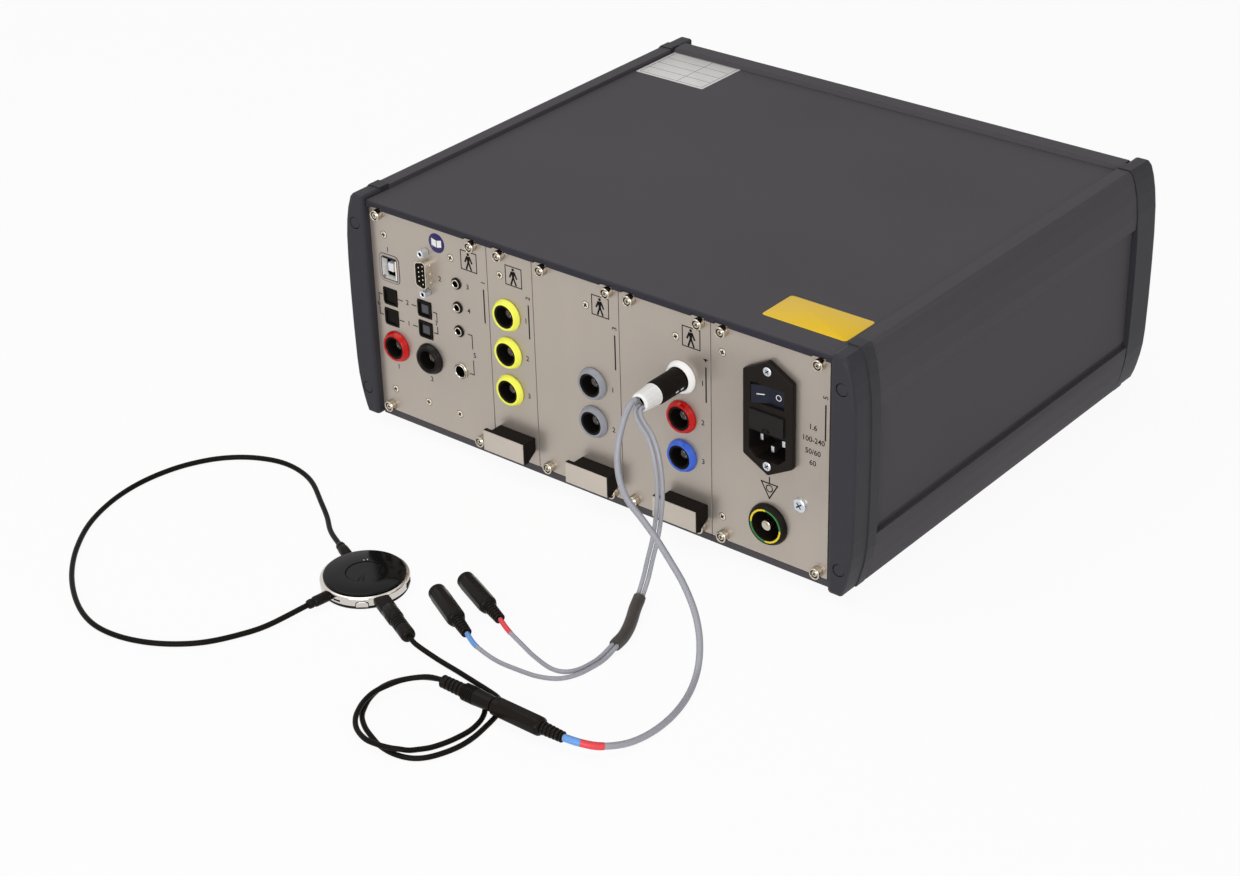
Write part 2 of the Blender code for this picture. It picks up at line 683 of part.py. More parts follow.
def as_mesh(guide, name, material=None, cutter=False):
    """Swap a curve object for a mesh object with its caps welded on."""
    bpy.context.view_layer.update()
    graph = bpy.context.evaluated_depsgraph_get()
    mesh = bpy.data.meshes.new_from_object(guide.evaluated_get(graph))
    work = bmesh.new()
    work.from_mesh(mesh)
    bmesh.ops.remove_doubles(work, verts=work.verts, dist=WELD)
    bmesh.ops.recalc_face_normals(work, faces=work.faces)
    work.to_mesh(mesh)
    work.free()
    item = bpy.data.objects.new(name, mesh)
    item.matrix_world = guide.matrix_world.copy()
    bpy.data.objects.remove(guide, do_unlink=True)
    item.name = name
    return link(item, material, cutter)


def rounded_rectangle(centre_x, centre_z, width, height, corner, steps):
    """Outline of a rectangle with round corners."""
    points = []
    for index, (sign_x, sign_z) in enumerate(((1, 1), (-1, 1), (-1, -1), (1, -1))):
        for step in range(steps + 1):
            angle = (index + step / steps) * math.pi / 2
            points.append((centre_x + sign_x * (width / 2 - corner) + corner * math.cos(angle),
                           centre_z + sign_z * (height / 2 - corner) + corner * math.sin(angle)))
    return points


def apply_modifiers(item):
    """Keep what the modifiers show as the object's own mesh."""
    bpy.context.view_layer.update()
    graph = bpy.context.evaluated_depsgraph_get()
    mesh = bpy.data.meshes.new_from_object(item.evaluated_get(graph))
    item.modifiers.clear()
    item.data = mesh


def combine(item, tools, operation="DIFFERENCE"):
    """Cut tools out of an object, or join them to it."""
    bpy.context.view_layer.update()
    for tool in tools:
        step = item.modifiers.new(operation.lower(), "BOOLEAN")
        step.operation = operation
        step.solver = "EXACT"
        step.object = tool
    apply_modifiers(item)
    for tool in tools:
        bpy.data.objects.remove(tool, do_unlink=True)
    return item


def soften(item, width=EDGE_ROUND, segments=1, angle_deg=SMOOTH_ANGLE_DEG):
    """Round the sharp edges of an object."""
    bevel = item.modifiers.new("round", "BEVEL")
    bevel.width = width
    bevel.segments = segments
    bevel.limit_method = "ANGLE"
    bevel.angle_limit = math.radians(angle_deg)
    return item


def catmull(points, parameter):
    """A point on the smooth curve through the points, at a parameter from 0 to count - 1."""
    index = min(int(parameter), len(points) - 2)
    share = parameter - index
    before = points[index - 1] if index > 0 else 2 * points[0] - points[1]
    after = points[index + 2] if index + 2 < len(points) else 2 * points[-1] - points[-2]
    start, end = points[index], points[index + 1]
    return 0.5 * (2 * start + (end - before) * share
                  + (2 * before - 5 * start + 4 * end - after) * share ** 2
                  + (3 * start - before - 3 * end + after) * share ** 3)


def lengths_along(points):
    """Running length at each point."""
    total = [0.0]
    for start, end in zip(points, points[1:]):
        total.append(total[-1] + (end - start).length)
    return total


def dense_curve(points):
    """The smooth curve through the points, read closely."""
    fine = CURVE_POINTS
    return [catmull(points, i / fine) for i in range(fine * (len(points) - 1) + 1)]


def portion(points, start, end, step):
    """Evenly spaced points of a closely read curve between two running lengths."""
    running = lengths_along(points)
    count = max(2, round((end - start) / step))
    result = []
    index = 0
    for i in range(count + 1):
        wanted = start + (end - start) * i / count
        while index < len(points) - 2 and running[index + 1] < wanted:
            index += 1
        share = (wanted - running[index]) / (running[index + 1] - running[index])
        result.append(points[index].lerp(points[index + 1], share))
    return result


def tube(name, points, radius, material=None, resolution=TUBE_RESOLUTION, cutter=False, radius_shares=None):
    """A closed tube along points of the panels' frame, with a share of its radius at each."""
    curve = bpy.data.curves.new(name, "CURVE")
    curve.dimensions = "3D"
    curve.bevel_depth = radius
    curve.bevel_resolution = resolution
    curve.use_fill_caps = True
    spline = curve.splines.new("POLY")
    spline.points.add(len(points) - 1)
    for node, point, share in zip(spline.points, points, radius_shares or [1] * len(points)):
        node.co = (*at(*point), 1)
        node.radius = share
    guide = bpy.data.objects.new(name, curve)
    link(guide, cutter=True)
    return as_mesh(guide, name, material, cutter)


def least_gap(points, radius):
    """Least gap of a tube to its own other turns, measured between its points."""
    running = lengths_along(points)
    apart = 4 * radius
    least = math.inf
    for i, first in enumerate(points):
        for j in range(i + 1, len(points)):
            if running[j] - running[i] > math.pi * apart:
                least = min(least, (points[j] - first).length - 2 * radius)
    return least


def mirrored_x(across, side):
    """A distance outwards from the inner face of the left or the right side, as an X."""
    return -across if side == "left" else INNER_WIDTH + across


def side_outline(shares, width, height, base, side):
    """Outline of a cheek or rail from its shares."""
    return [(mirrored_x(across * width, side), base + up * height) for across, up in shares]


def make_cheek(end, side):
    """A moulded end cheek: a wide rounded block, a thin collar and pockets for two screw caps."""
    face, way = (CASE_NEAR, 1) if end == "near" else (CASE_FAR, -1)
    inner = face + way * CHEEK_THICKNESS
    outline = side_outline(CHEEK_OUTLINE_SHARES, CHEEK_WIDTH, CHEEK_HEIGHT, CASE_BOTTOM, side)
    cheek = prism(f"cheek_{end}_{side}", outline, min(face, inner), max(face, inner), "xz", cheek_plastic())
    apply_modifiers(soften(cheek, CHEEK_EDGE_ROUND, BEVEL_SEGMENTS, 2 * SMOOTH_ANGLE_DEG))
    width = CHEEK_WIDTH + COLLAR_PROUD
    shares = [(max(across, GAP / width), up) for across, up in CHEEK_OUTLINE_SHARES]
    larger = side_outline(shares, width, CHEEK_HEIGHT + 2 * COLLAR_PROUD, CASE_BOTTOM - COLLAR_PROUD, side)
    start, stop = inner - way * (CHEEK_EDGE_ROUND + GAP), inner + way * COLLAR_THICKNESS
    combine(cheek, [prism("collar", larger, min(start, stop), max(start, stop), "xz", cutter=True)], "UNION")
    x = mirrored_x(CAP_ACROSS_SHARE * CHEEK_WIDTH, side)
    pockets = [rod("pocket", CAP_RADIUS, -CAP_POCKET, OVERRUN,
                   (x, face, CASE_BOTTOM + share * CHEEK_HEIGHT), OUTWARDS * way, SIDES_SMALL, cutter=True)
               for share in CAP_HEIGHT_SHARES]
    combine(cheek, pockets)


def make_cheeks():
    for end in ("near", "far"):
        for side in ("left", "right"):
            make_cheek(end, side)


def rail_points(shares, height, base):
    return [(across * RAIL_WIDTH, base + up * height) for across, up in shares]


def make_side(side):
    """A side wall: an upper and a lower rail with a recessed web, grooved along its lower edge."""
    outer = RAIL_WIDTH - SIDE_RECESS
    inner = outer - SIDE_THICKNESS
    low = CASE_BOTTOM + RAIL_LOW_HEIGHT
    top = CASE_TOP - RAIL_TOP_HEIGHT
    groove = low + SIDE_GROOVE_HEIGHT
    section = rail_points(RAIL_TOP_OUTER_SHARES, RAIL_TOP_HEIGHT, top)
    section += [(outer, top), (outer, groove), (outer - SIDE_GROOVE_DEPTH, groove),
                (outer - SIDE_GROOVE_DEPTH, low)]
    section += rail_points(RAIL_LOW_OUTER_SHARES, RAIL_LOW_HEIGHT, CASE_BOTTOM)
    section += rail_points(RAIL_LOW_INNER_SHARES, RAIL_LOW_HEIGHT, CASE_BOTTOM)
    section += [(inner, low), (inner, top)]
    section += rail_points(RAIL_TOP_INNER_SHARES, RAIL_TOP_HEIGHT, top)
    outline = [(mirrored_x(across, side), up) for across, up in section]
    prism(f"side_{side}", outline, RAIL_NEAR, RAIL_FAR, "xz", case_paint())


def make_cover():
    """Top cover, bent down over the upper edge of the panels, with a notch over each collar screw."""
    low = SCREW_ROW_HIGH + COLLAR_SCREW_RADIUS + GAP
    under = COVER_TOP - COVER_THICKNESS
    far = BAND_NEAR - GAP
    bend = [(-LIP_OUT + LIP_ROUND * (1 - math.cos(angle)), COVER_TOP - LIP_ROUND * (1 - math.sin(angle)))
            for angle in (0, math.pi / 6, math.pi / 3, math.pi / 2)]
    outline = [(-LIP_OUT, low)] + bend + [
        (far, COVER_TOP), (far, under), (LIP_THICKNESS - LIP_OUT, under), (LIP_THICKNESS - LIP_OUT, low)]
    cover = prism("top_cover", outline, GAP, INNER_WIDTH - GAP, "yz", case_paint())
    half = LIP_NOTCH_WIDTH / 2
    notches = [box("notch", (x - half, -LIP_OUT - OVERRUN, low - OVERRUN),
                   (x + half, LIP_THICKNESS - LIP_OUT + OVERRUN, low + LIP_NOTCH_HEIGHT), cutter=True)
               for x in all_screw_places()]
    combine(cover, notches)


def make_bottom():
    """Bottom plate with its four round feet."""
    bottom = CASE_BOTTOM + BOTTOM_LIFT
    plate = box("bottom_plate", (GAP, SILL_DEPTH + GAP, bottom),
                (INNER_WIDTH - GAP, BAND_NEAR - GAP, BOTTOM_TOP), case_paint())
    feet = [rod("foot", FOOT_RADIUS, TABLE, bottom + BOTTOM_THICKNESS / 2, (x, y, 0), UPWARDS, SIDES_MEDIUM,
                cutter=True)
            for x in (FOOT_INSET_X, INNER_WIDTH - FOOT_INSET_X)
            for y in (FOOT_INSET_Y, BAND_NEAR - FOOT_INSET_Y)]
    combine(plate, feet, "UNION")


def make_front():
    """The far end: a panel with a sill below and a raised, rounded band above."""
    plate = BAND_FAR - FRONT_INSET
    back = plate - FRONT_THICKNESS
    top = COVER_TOP + BAND_PROUD
    corner = BAND_ROUND_SHARE * BAND_HEIGHT
    low = CASE_TOP - BAND_HEIGHT
    outline = [
        (BAND_NEAR, CASE_BOTTOM), (BAND_FAR, CASE_BOTTOM), (BAND_FAR, SILL_UPSTAND), (plate, SILL_UPSTAND),
        (plate, low), (BAND_FAR, low), (BAND_FAR, top - corner), (BAND_FAR - corner, top),
        (BAND_NEAR + corner, top), (BAND_NEAR, top - corner), (BAND_NEAR, low), (back, low),
        (back, CASE_BOTTOM + FAR_FLANGE), (BAND_NEAR, CASE_BOTTOM + FAR_FLANGE),
    ]
    prism("front_panel", outline, GAP, INNER_WIDTH - GAP, "yz", case_paint())


def rail_section(low, high, front, depth, middle):
    """Section of a cross rail whose front has a channel for the tapped strip."""
    half = STRIP_HEIGHT / 2 + GAP
    channel = STRIP_FRONT + STRIP_THICKNESS + GAP
    return [(front, middle - half), (channel, middle - half), (channel, middle + half),
            (front, middle + half), (front, high), (depth, high), (depth, low)]


def make_cross_rails():
    """Sill and lintel behind the panels."""
    left, right = GAP, INNER_WIDTH - GAP
    sill = [(0, CASE_BOTTOM), (0, -GAP), (PANEL_BACK, -GAP)]
    sill += rail_section(CASE_BOTTOM, SILL_UPSTAND, PANEL_BACK, SILL_DEPTH, SCREW_ROW_LOW)
    prism("sill", sill, left, right, "yz", case_paint())
    low = LINTEL_TOP - LINTEL_HEIGHT
    lintel = [(PANEL_BACK, low)]
    lintel += rail_section(low, LINTEL_TOP, PANEL_BACK, PANEL_BACK + LINTEL_DEPTH, SCREW_ROW_HIGH)
    prism("lintel", lintel, left, right, "yz", case_paint())


def bore_cutter(x, z, radius, depth, sides=SIDES_SCREW):
    """A round cutter from before the panel's face to a depth behind it."""
    return rod("bore", radius, -depth, OVERRUN, (x, 0, z), OUTWARDS, sides, cutter=True)


def make_panel(name, index, holes):
    """A module's front panel with its screw holes and its own cut-outs."""
    left = module_left(index)
    right = left + MODULE_WIDTHS[index] - PANEL_SEAM
    panel = box(name, (left, 0, 0), (right, PANEL_THICKNESS, PANEL_HEIGHT), panel_metal())
    through = PANEL_THICKNESS + OVERRUN
    for x in screw_places(index):
        for z in (SCREW_ROW_LOW, SCREW_ROW_HIGH):
            holes.append(bore_cutter(x, z, COLLAR_SCREW_SHANK + SHANK_CLEARANCE, through))
    return combine(panel, holes)


def socket_holes(index, shares):
    """Panel holes behind the coloured rings."""
    return [bore_cutter(*panel_place(index, share), RING_BORE, PANEL_THICKNESS + OVERRUN, SIDES_MEDIUM)
            for share in shares]


def square_hole(x, z, width, height):
    """A square cutter through a panel."""
    through = PANEL_THICKNESS + OVERRUN
    return box("window", (x - width / 2, -OVERRUN, z - height / 2), (x + width / 2, through, z + height / 2),
               cutter=True)


def make_panels():
    """The five module panels."""
    control = socket_holes(0, LINE_SOCKET_SHARES)
    usb_x, usb_z = panel_place(0, USB_SHARE)
    control.append(square_hole(usb_x, usb_z, USB_WIDTH + 2 * GAP, USB_HEIGHT + 2 * GAP))
    serial_x, serial_z = panel_place(0, SERIAL_SHARE)
    control.append(square_hole(serial_x, serial_z, SERIAL_WIDTH + 2 * GAP, SERIAL_LENGTH + 2 * GAP))
    through = PANEL_THICKNESS + OVERRUN
    for sign in (-1, 1):
        control.append(bore_cutter(serial_x, serial_z + sign * POST_PITCH / 2,
                                   POST_SHANK + SHANK_CLEARANCE, through))
    for share in JACK_SHARES:
        control.append(bore_cutter(*panel_place(0, share), JACK_RADIUS + GAP, through, SIDES_SMALL))
    control.append(bore_cutter(*panel_place(0, BIG_JACK_SHARE), BIG_JACK_RADIUS + GAP, through, SIDES_SMALL))
    for share in OPTICAL_SHARES.values():
        control.append(square_hole(*panel_place(0, share), OPTICAL_SIDE + 2 * GAP, OPTICAL_SIDE + 2 * GAP))
    make_panel("panel_control", 0, control)
    make_panel("panel_air", 1, socket_holes(1, AIR_SOCKET_SHARES))
    make_panel("panel_bone", 2, socket_holes(2, BONE_SOCKET_SHARES))
    make_panel("panel_field", 3, socket_holes(3, FIELD_SOCKET_SHARES))
    inlet_x, inlet_z = panel_place(4, INLET_SHARE)
    power = [prism("window", body_outline(inlet_x, inlet_z, GAP), -OVERRUN, through, "xz", cutter=True)]
    power.append(bore_cutter(*panel_place(4, EARTH_SHARE), EARTH_SHANK + GAP, through, SIDES_LARGE))
    make_panel("panel_power", 4, power)


def make_screw_strip(name, z):
    """A row of captive screws in the tapped strip that they are turned into."""
    strip = box(name, (2 * GAP, STRIP_FRONT, z - STRIP_HEIGHT / 2),
                (INNER_WIDTH - 2 * GAP, STRIP_FRONT + STRIP_THICKNESS, z + STRIP_HEIGHT / 2), nickel())
    floor = COLLAR_SCREW_OUT - COLLAR_SCREW_BORE_DEPTH
    tip = -(STRIP_FRONT + STRIP_BITE)
    profile = [(0, floor), (COLLAR_SCREW_BORE, floor), (COLLAR_SCREW_BORE, COLLAR_SCREW_OUT),
               (COLLAR_SCREW_RADIUS, COLLAR_SCREW_OUT), (COLLAR_SCREW_RADIUS, GAP),
               (COLLAR_SCREW_SHANK, GAP), (COLLAR_SCREW_SHANK, tip), (0, tip)]
    screws = [turned("screw", profile, (x, 0, z), OUTWARDS, SIDES_SCREW, cutter=True)
              for x in all_screw_places()]
    combine(strip, screws, "UNION")


def socket_profile_of_ring():
    """A coloured ring in front of the panel and its contact cup with a stud behind, as one turned piece."""
    floor = -(CUP_BACK - CUP_FLOOR)
    lip = RING_OUT - RING_LIP
    return [(0, -STUD_DEPTH), (STUD_RADIUS, -STUD_DEPTH), (STUD_RADIUS, floor), (CUP_BORE, floor),
            (CUP_BORE, lip), (RING_BORE, lip), (RING_BORE, RING_OUT), (RING_FACE_RADIUS, RING_OUT),
            (RING_BASE_RADIUS, GAP + RING_SHOULDER), (RING_BASE_RADIUS, GAP), (CUP_RADIUS, GAP),
            (CUP_RADIUS, -CUP_BACK), (0, -CUP_BACK)]


def carrier(name, places, back):
    """A small upright board across the backs of sockets that stand one above the other."""
    xs = [x for x, z in places]
    zs = [z for x, z in places]
    return box(name, (min(xs) - CARRIER_HALF_WIDTH, back - CARRIER_BITE, min(zs) - CARRIER_MARGIN),
               (max(xs) + CARRIER_HALF_WIDTH, back - CARRIER_BITE + CARRIER_THICKNESS,
                max(zs) + CARRIER_MARGIN), cutter=True)


def make_socket_group(name, places, colour):
    """Round sockets of one colour, joined by their carrier board where there are several."""
    sockets = [turned(name, socket_profile_of_ring(), (x, 0, z), OUTWARDS, SIDES_MEDIUM,
                      plain_colour(name, colour), cutter=index > 0) for index, (x, z) in enumerate(places)]
    if len(places) > 1:
        apply_modifiers(sockets[0])
        combine(sockets[0], [carrier("carrier", places, CUP_BACK)] + sockets[1:], "UNION")


def make_sockets():
    """Coloured round sockets of the four signal modules."""
    red = (0.58, 0.012, 0.012)
    line = [panel_place(0, share) for share in LINE_SOCKET_SHARES]
    air = [panel_place(1, share) for share in AIR_SOCKET_SHARES]
    bone = [panel_place(2, share) for share in BONE_SOCKET_SHARES]
    field = [panel_place(3, share) for share in FIELD_SOCKET_SHARES]
    make_socket_group("socket_line_red", line[:1], red)
    make_socket_group("socket_line_black", line[1:], (0.02, 0.02, 0.02))
    make_socket_group("sockets_yellow", air, (0.80, 0.85, 0.05))
    make_socket_group("sockets_grey", bone, (0.26, 0.27, 0.29))
    colours = {"white": (0.85, 0.85, 0.85), "red": red, "blue": (0.04, 0.13, 0.62)}
    for place, (name, colour) in zip(field, colours.items()):
        make_socket_group(f"socket_field_{name}", [place], colour)


def make_usb():
    """Square data socket with the tongue that stands in its mouth."""
    x, z = panel_place(0, USB_SHARE)
    outline = rounded_rectangle(x, z, USB_WIDTH, USB_HEIGHT, USB_CORNER, BEVEL_SEGMENTS)
    shell = prism("usb_socket", outline, -USB_OUT, USB_DEPTH, "xz", nickel())
    mouth = box("mouth", (x - USB_MOUTH_WIDTH / 2, -USB_OUT - OVERRUN, z - USB_MOUTH_HEIGHT / 2),
                (x + USB_MOUTH_WIDTH / 2, USB_MOUTH_DEPTH, z + USB_MOUTH_HEIGHT / 2), cutter=True)
    combine(shell, [mouth])
    tongue = box("tongue", (x - TONGUE_WIDTH / 2, TONGUE_RECESS - USB_OUT, z - TONGUE_HEIGHT / 2),
                 (x + TONGUE_WIDTH / 2, USB_MOUTH_DEPTH + OVERRUN, z + TONGUE_HEIGHT / 2), cutter=True)
    combine(shell, [tongue], "UNION")


def serial_outline(x, z, inset):
    """The D outline of the serial plug, upright, its long side to the right."""
    half_width = SERIAL_WIDTH / 2 - inset
    half_length = SERIAL_LENGTH / 2 - inset
    cut = SERIAL_CORNER - inset
    return [(x - half_width, z - half_length + cut), (x - half_width + cut, z - half_length + SERIAL_TAPER),
            (x + half_width - cut, z - half_length), (x + half_width, z - half_length + cut),
            (x + half_width, z + half_length - cut), (x + half_width - cut, z + half_length),
            (x - half_width + cut, z + half_length - SERIAL_TAPER), (x - half_width, z + half_length - cut)]


def make_serial():
    """Serial plug: a shell round a pin field, a flange behind the panel and two hollow posts."""
    x, z = panel_place(0, SERIAL_SHARE)
    plug = prism("serial_plug", serial_outline(x, z, 0), -SERIAL_OUT, SERIAL_BACK, "xz", zinc())
    inside = serial_outline(x, z, SERIAL_WALL)
    combine(plug, [prism("hollow", inside, -SERIAL_OUT - OVERRUN, 0, "xz", cutter=True)])
    half_width = SERIAL_FLANGE_WIDTH / 2
    half_length = SERIAL_FLANGE_LENGTH / 2
    flange = box("flange", (x - half_width, PANEL_BACK, z - half_length),
                 (x + half_width, PANEL_BACK + SERIAL_FLANGE_THICKNESS, z + half_length), cutter=True)
    floor = POST_OUT - POST_BORE_DEPTH
    end = -(PANEL_BACK + SERIAL_FLANGE_THICKNESS / 2)
    profile = [(0, floor), (POST_BORE, floor), (POST_BORE, POST_OUT), (POST_RADIUS, POST_OUT),
               (POST_RADIUS, GAP), (POST_SHANK, GAP), (POST_SHANK, end), (0, end)]
    posts = [turned("post", profile, (x, 0, z + sign * POST_PITCH / 2), OUTWARDS, SIDES_POST, cutter=True)
             for sign in (-1, 1)]
    combine(plug, [flange] + posts, "UNION")


def jack_body(share, radius, nut_radius, back):
    """Outside of a jack: sleeve, round nut against the panel, and body behind it."""
    x, z = panel_place(0, share)
    nut = GAP + NUT_HEIGHT
    profile = [(0, JACK_OUT), (radius, JACK_OUT), (radius, nut), (nut_radius, nut), (nut_radius, GAP),
               (radius, GAP), (radius, -back), (0, -back)]
    return turned("jack_sockets", profile, (x, 0, z), OUTWARDS, SIDES_SMALL, nickel())


def make_jacks():
    """Three small jacks above a large one, on one carrier board."""
    shares = JACK_SHARES + (BIG_JACK_SHARE,)
    bodies = [jack_body(share, JACK_RADIUS, NUT_RADIUS, JACK_BACK) for share in JACK_SHARES]
    bodies.append(jack_body(BIG_JACK_SHARE, BIG_JACK_RADIUS, BIG_NUT_RADIUS, BIG_JACK_BACK))
    jacks = bodies[0]
    apply_modifiers(jacks)
    places = [panel_place(0, share) for share in shares]
    combine(jacks, [carrier("carrier", places, JACK_BACK)] + bodies[1:], "UNION")
    jacks.name = "jack_sockets"
    bores = [rod("bore", JACK_BORE, JACK_FLOOR - JACK_BACK, JACK_OUT + OVERRUN, (x, 0, z), OUTWARDS,
                 SIDES_SMALL, cutter=True) for x, z in places[:-1]]
    x, z = places[-1]
    bores.append(rod("bore", BIG_JACK_BORE, JACK_FLOOR - BIG_JACK_BACK, JACK_OUT + OVERRUN, (x, 0, z),
                     OUTWARDS, SIDES_SMALL, cutter=True))
    combine(jacks, bores)


def make_optical():
    """Four optical sockets on one carrier board, and a flap hinged along the top of each mouth."""
    half = OPTICAL_MOUTH / 2
    side = OPTICAL_SIDE / 2
    places = {name: panel_place(0, share) for name, share in OPTICAL_SHARES.items()}
    blocks = [box("optical_sockets", (x - side, -OPTICAL_OUT, z - side), (x + side, OPTICAL_DEPTH, z + side),
                  black_plastic()) for x, z in places.values()]
    sockets = blocks[0]
    combine(sockets, [carrier("carrier", list(places.values()), OPTICAL_DEPTH)] + blocks[1:], "UNION")
    sockets.name = "optical_sockets"
    mouths = [box("mouth", (x - half, -OPTICAL_OUT - OVERRUN, z - half),
                  (x + half, OPTICAL_MOUTH_DEPTH, z + half), cutter=True) for x, z in places.values()]
    combine(sockets, mouths)
    for name, (x, z) in places.items():
        front = FLAP_RECESS - OPTICAL_OUT
        flap = box(f"optical_flap_{name}", (x - half + GAP, front, z - half + GAP),
                   (x + half - GAP, front + FLAP_THICKNESS, z + half - GAP), flap_material(name))
        move_origin(flap, at(x, front + FLAP_THICKNESS / 2, z + half - GAP - FLAP_THICKNESS / 2))


def flap_material(name):
    if name.startswith("in"):
        return black_plastic()
    return plain_colour("flap_grey", (0.13, 0.14, 0.15))


def move_origin(item, place):
    """Put an object's origin on its joint axis and leave its shape where it is."""
    bpy.context.view_layer.update()
    shift = item.matrix_world.inverted() @ place
    item.data.transform(Matrix.Translation(-shift))
    item.location = place


def make_inlet_housing():
    """Mains inlet moulding with its well, drawer slot and pin cavity."""
    x, z = panel_place(4, INLET_SHARE)
    half, flat, apex = INLET_WIDTH / 2, INLET_FLAT_HEIGHT / 2, INLET_APEX_HEIGHT / 2
    outline = [(x - half, z - flat), (x, z - apex), (x + half, z - flat),
               (x + half, z + flat), (x, z + apex), (x - half, z + flat)]
    face = -(INLET_FLANGE + GAP)
    housing = prism("inlet_housing", outline, face, -GAP, "xz", black_plastic())
    apply_modifiers(soften(housing, INLET_BEVEL, BEVEL_SEGMENTS))
    body = prism("body", body_outline(x, z, 0), face / 2, INLET_BODY_DEPTH, "xz", cutter=True)
    combine(housing, [body], "UNION")
    pockets = [
        pocket(x, z + ROCKER_CENTRE, ROCKER_WELL_WIDTH, ROCKER_WELL_HEIGHT, face, ROCKER_WELL_DEPTH),
        pocket(x, z + DRAWER_CENTRE, DRAWER_WIDTH, DRAWER_HEIGHT, face, DRAWER_DEPTH + GAP),
        prism("cavity", cavity_outline(x, z), face - OVERRUN, face + CAVITY_DEPTH, "xz", cutter=True),
    ]
    combine(housing, pockets)
    combine(housing, inlet_pins(x, z + CAVITY_CENTRE, face), "UNION")


def inlet_pins(x, z, face):
    """Three contact blades that stand on the floor of the inlet's cavity."""
    blades = []
    for dx, dz in ((-PIN_SPREAD, PIN_RISE), (PIN_SPREAD, PIN_RISE), (0, -PIN_DROP)):
        blades.append(box("blade", (x + dx - PIN_WIDTH / 2, face + PIN_RECESS, z + dz - PIN_HEIGHT / 2),
                          (x + dx + PIN_WIDTH / 2, face + CAVITY_DEPTH + OVERRUN, z + dz + PIN_HEIGHT / 2),
                          cutter=True))
    return blades


def pocket(x, z, width, height, face, depth):
    """A square pocket cut from a face."""
    return box("pocket", (x - width / 2, face - OVERRUN, z - height / 2),
               (x + width / 2, face + depth, z + height / 2), cutter=True)


def cut_corners(x, half, low, high, cut):
    """A rectangle with its two lower corners cut off."""
    return [(x - half, high), (x - half, low + cut), (x - half + cut, low),
            (x + half - cut, low), (x + half, low + cut), (x + half, high)]


def body_outline(x, z, grow):
    """The part of the inlet that stands in the panel's window and, grown by a gap, the window."""
    return cut_corners(x, INLET_BODY_WIDTH / 2 + grow, z - INLET_BODY_BELOW - grow,
                       z + INLET_BODY_ABOVE + grow, INLET_BODY_CHAMFER)


def cavity_outline(x, z):
    """The inlet's cavity for the mains connector."""
    middle = z + CAVITY_CENTRE
    return cut_corners(x, CAVITY_WIDTH / 2, middle - CAVITY_HEIGHT / 2, middle + CAVITY_HEIGHT / 2,
                       CAVITY_CHAMFER)


def make_rocker():
    """Rocker switch on an upright axis, its right half pressed in."""
    x, z = panel_place(4, INLET_SHARE)
    face = -(INLET_FLANGE + GAP)
    half = ROCKER_WIDTH / 2
    rise = half * math.tan(math.radians(ROCKER_TILT_DEG))
    height = ROCKER_WELL_HEIGHT / 2 - GAP
    root = half * ROCKER_ROOT_SHARE
    outline = [(-half, -rise), (0, 0), (half, -rise), (half, ROCKER_END_DEPTH),
               (root, ROCKER_ROOT_DEPTH), (-root, ROCKER_ROOT_DEPTH), (-half, ROCKER_END_DEPTH)]
    rocker = prism("rocker", outline, -height, height, "xy", black_plastic())
    pivot = at(x, face + ROCKER_PIVOT_DEPTH, z + ROCKER_CENTRE)
    rocker.matrix_world = (Matrix.Translation(pivot)
                           @ Matrix.Rotation(math.radians(ROCKER_TILT_DEG), 4, UPWARDS))


def make_drawer():
    """Fuse drawer with a small notch in the lower edge of its face."""
    x, z = panel_place(4, INLET_SHARE)
    face = -(INLET_FLANGE + GAP)
    middle = z + DRAWER_CENTRE
    half_width = DRAWER_WIDTH / 2 - GAP
    half_height = DRAWER_HEIGHT / 2 - GAP
    drawer = box("fuse_drawer", (x - half_width, face - DRAWER_FACE_OUT, middle - half_height),
                 (x + half_width, face + DRAWER_DEPTH, middle + half_height), black_plastic())
    grip = box("grip", (x - DRAWER_GRIP_WIDTH / 2, face - DRAWER_FACE_OUT - OVERRUN,
                        middle - half_height - OVERRUN),
               (x + DRAWER_GRIP_WIDTH / 2, face - DRAWER_FACE_OUT + DRAWER_GRIP_DEPTH,
                middle - half_height + DRAWER_GRIP_HEIGHT), cutter=True)
    combine(drawer, [grip])
    move_origin(drawer, at(x, face, middle))


def make_earth_terminal():
    """Earth terminal: a round cup with a pin standing in it."""
    x, z = panel_place(4, EARTH_SHARE)
    floor = -(EARTH_BACK - EARTH_FLOOR)
    tip = EARTH_OUT - EARTH_PIN_RECESS
    shoulder = tip - (EARTH_PIN_RADIUS - EARTH_PIN_TIP_RADIUS)
    profile = [(0, tip), (EARTH_PIN_TIP_RADIUS, tip), (EARTH_PIN_RADIUS, shoulder), (EARTH_PIN_RADIUS, floor),
               (EARTH_BORE, floor), (EARTH_BORE, EARTH_OUT), (EARTH_FACE_RADIUS, EARTH_OUT),
               (EARTH_RADIUS, GAP), (EARTH_SHANK, GAP), (EARTH_SHANK, -EARTH_BACK), (0, -EARTH_BACK)]
    turned("earth_terminal", profile, (x, 0, z), OUTWARDS, SIDES_LARGE, black_plastic())


def handle_right(index):
    return module_left(index) + MODULE_WIDTHS[index] - HANDLE_RIGHT_MARGIN


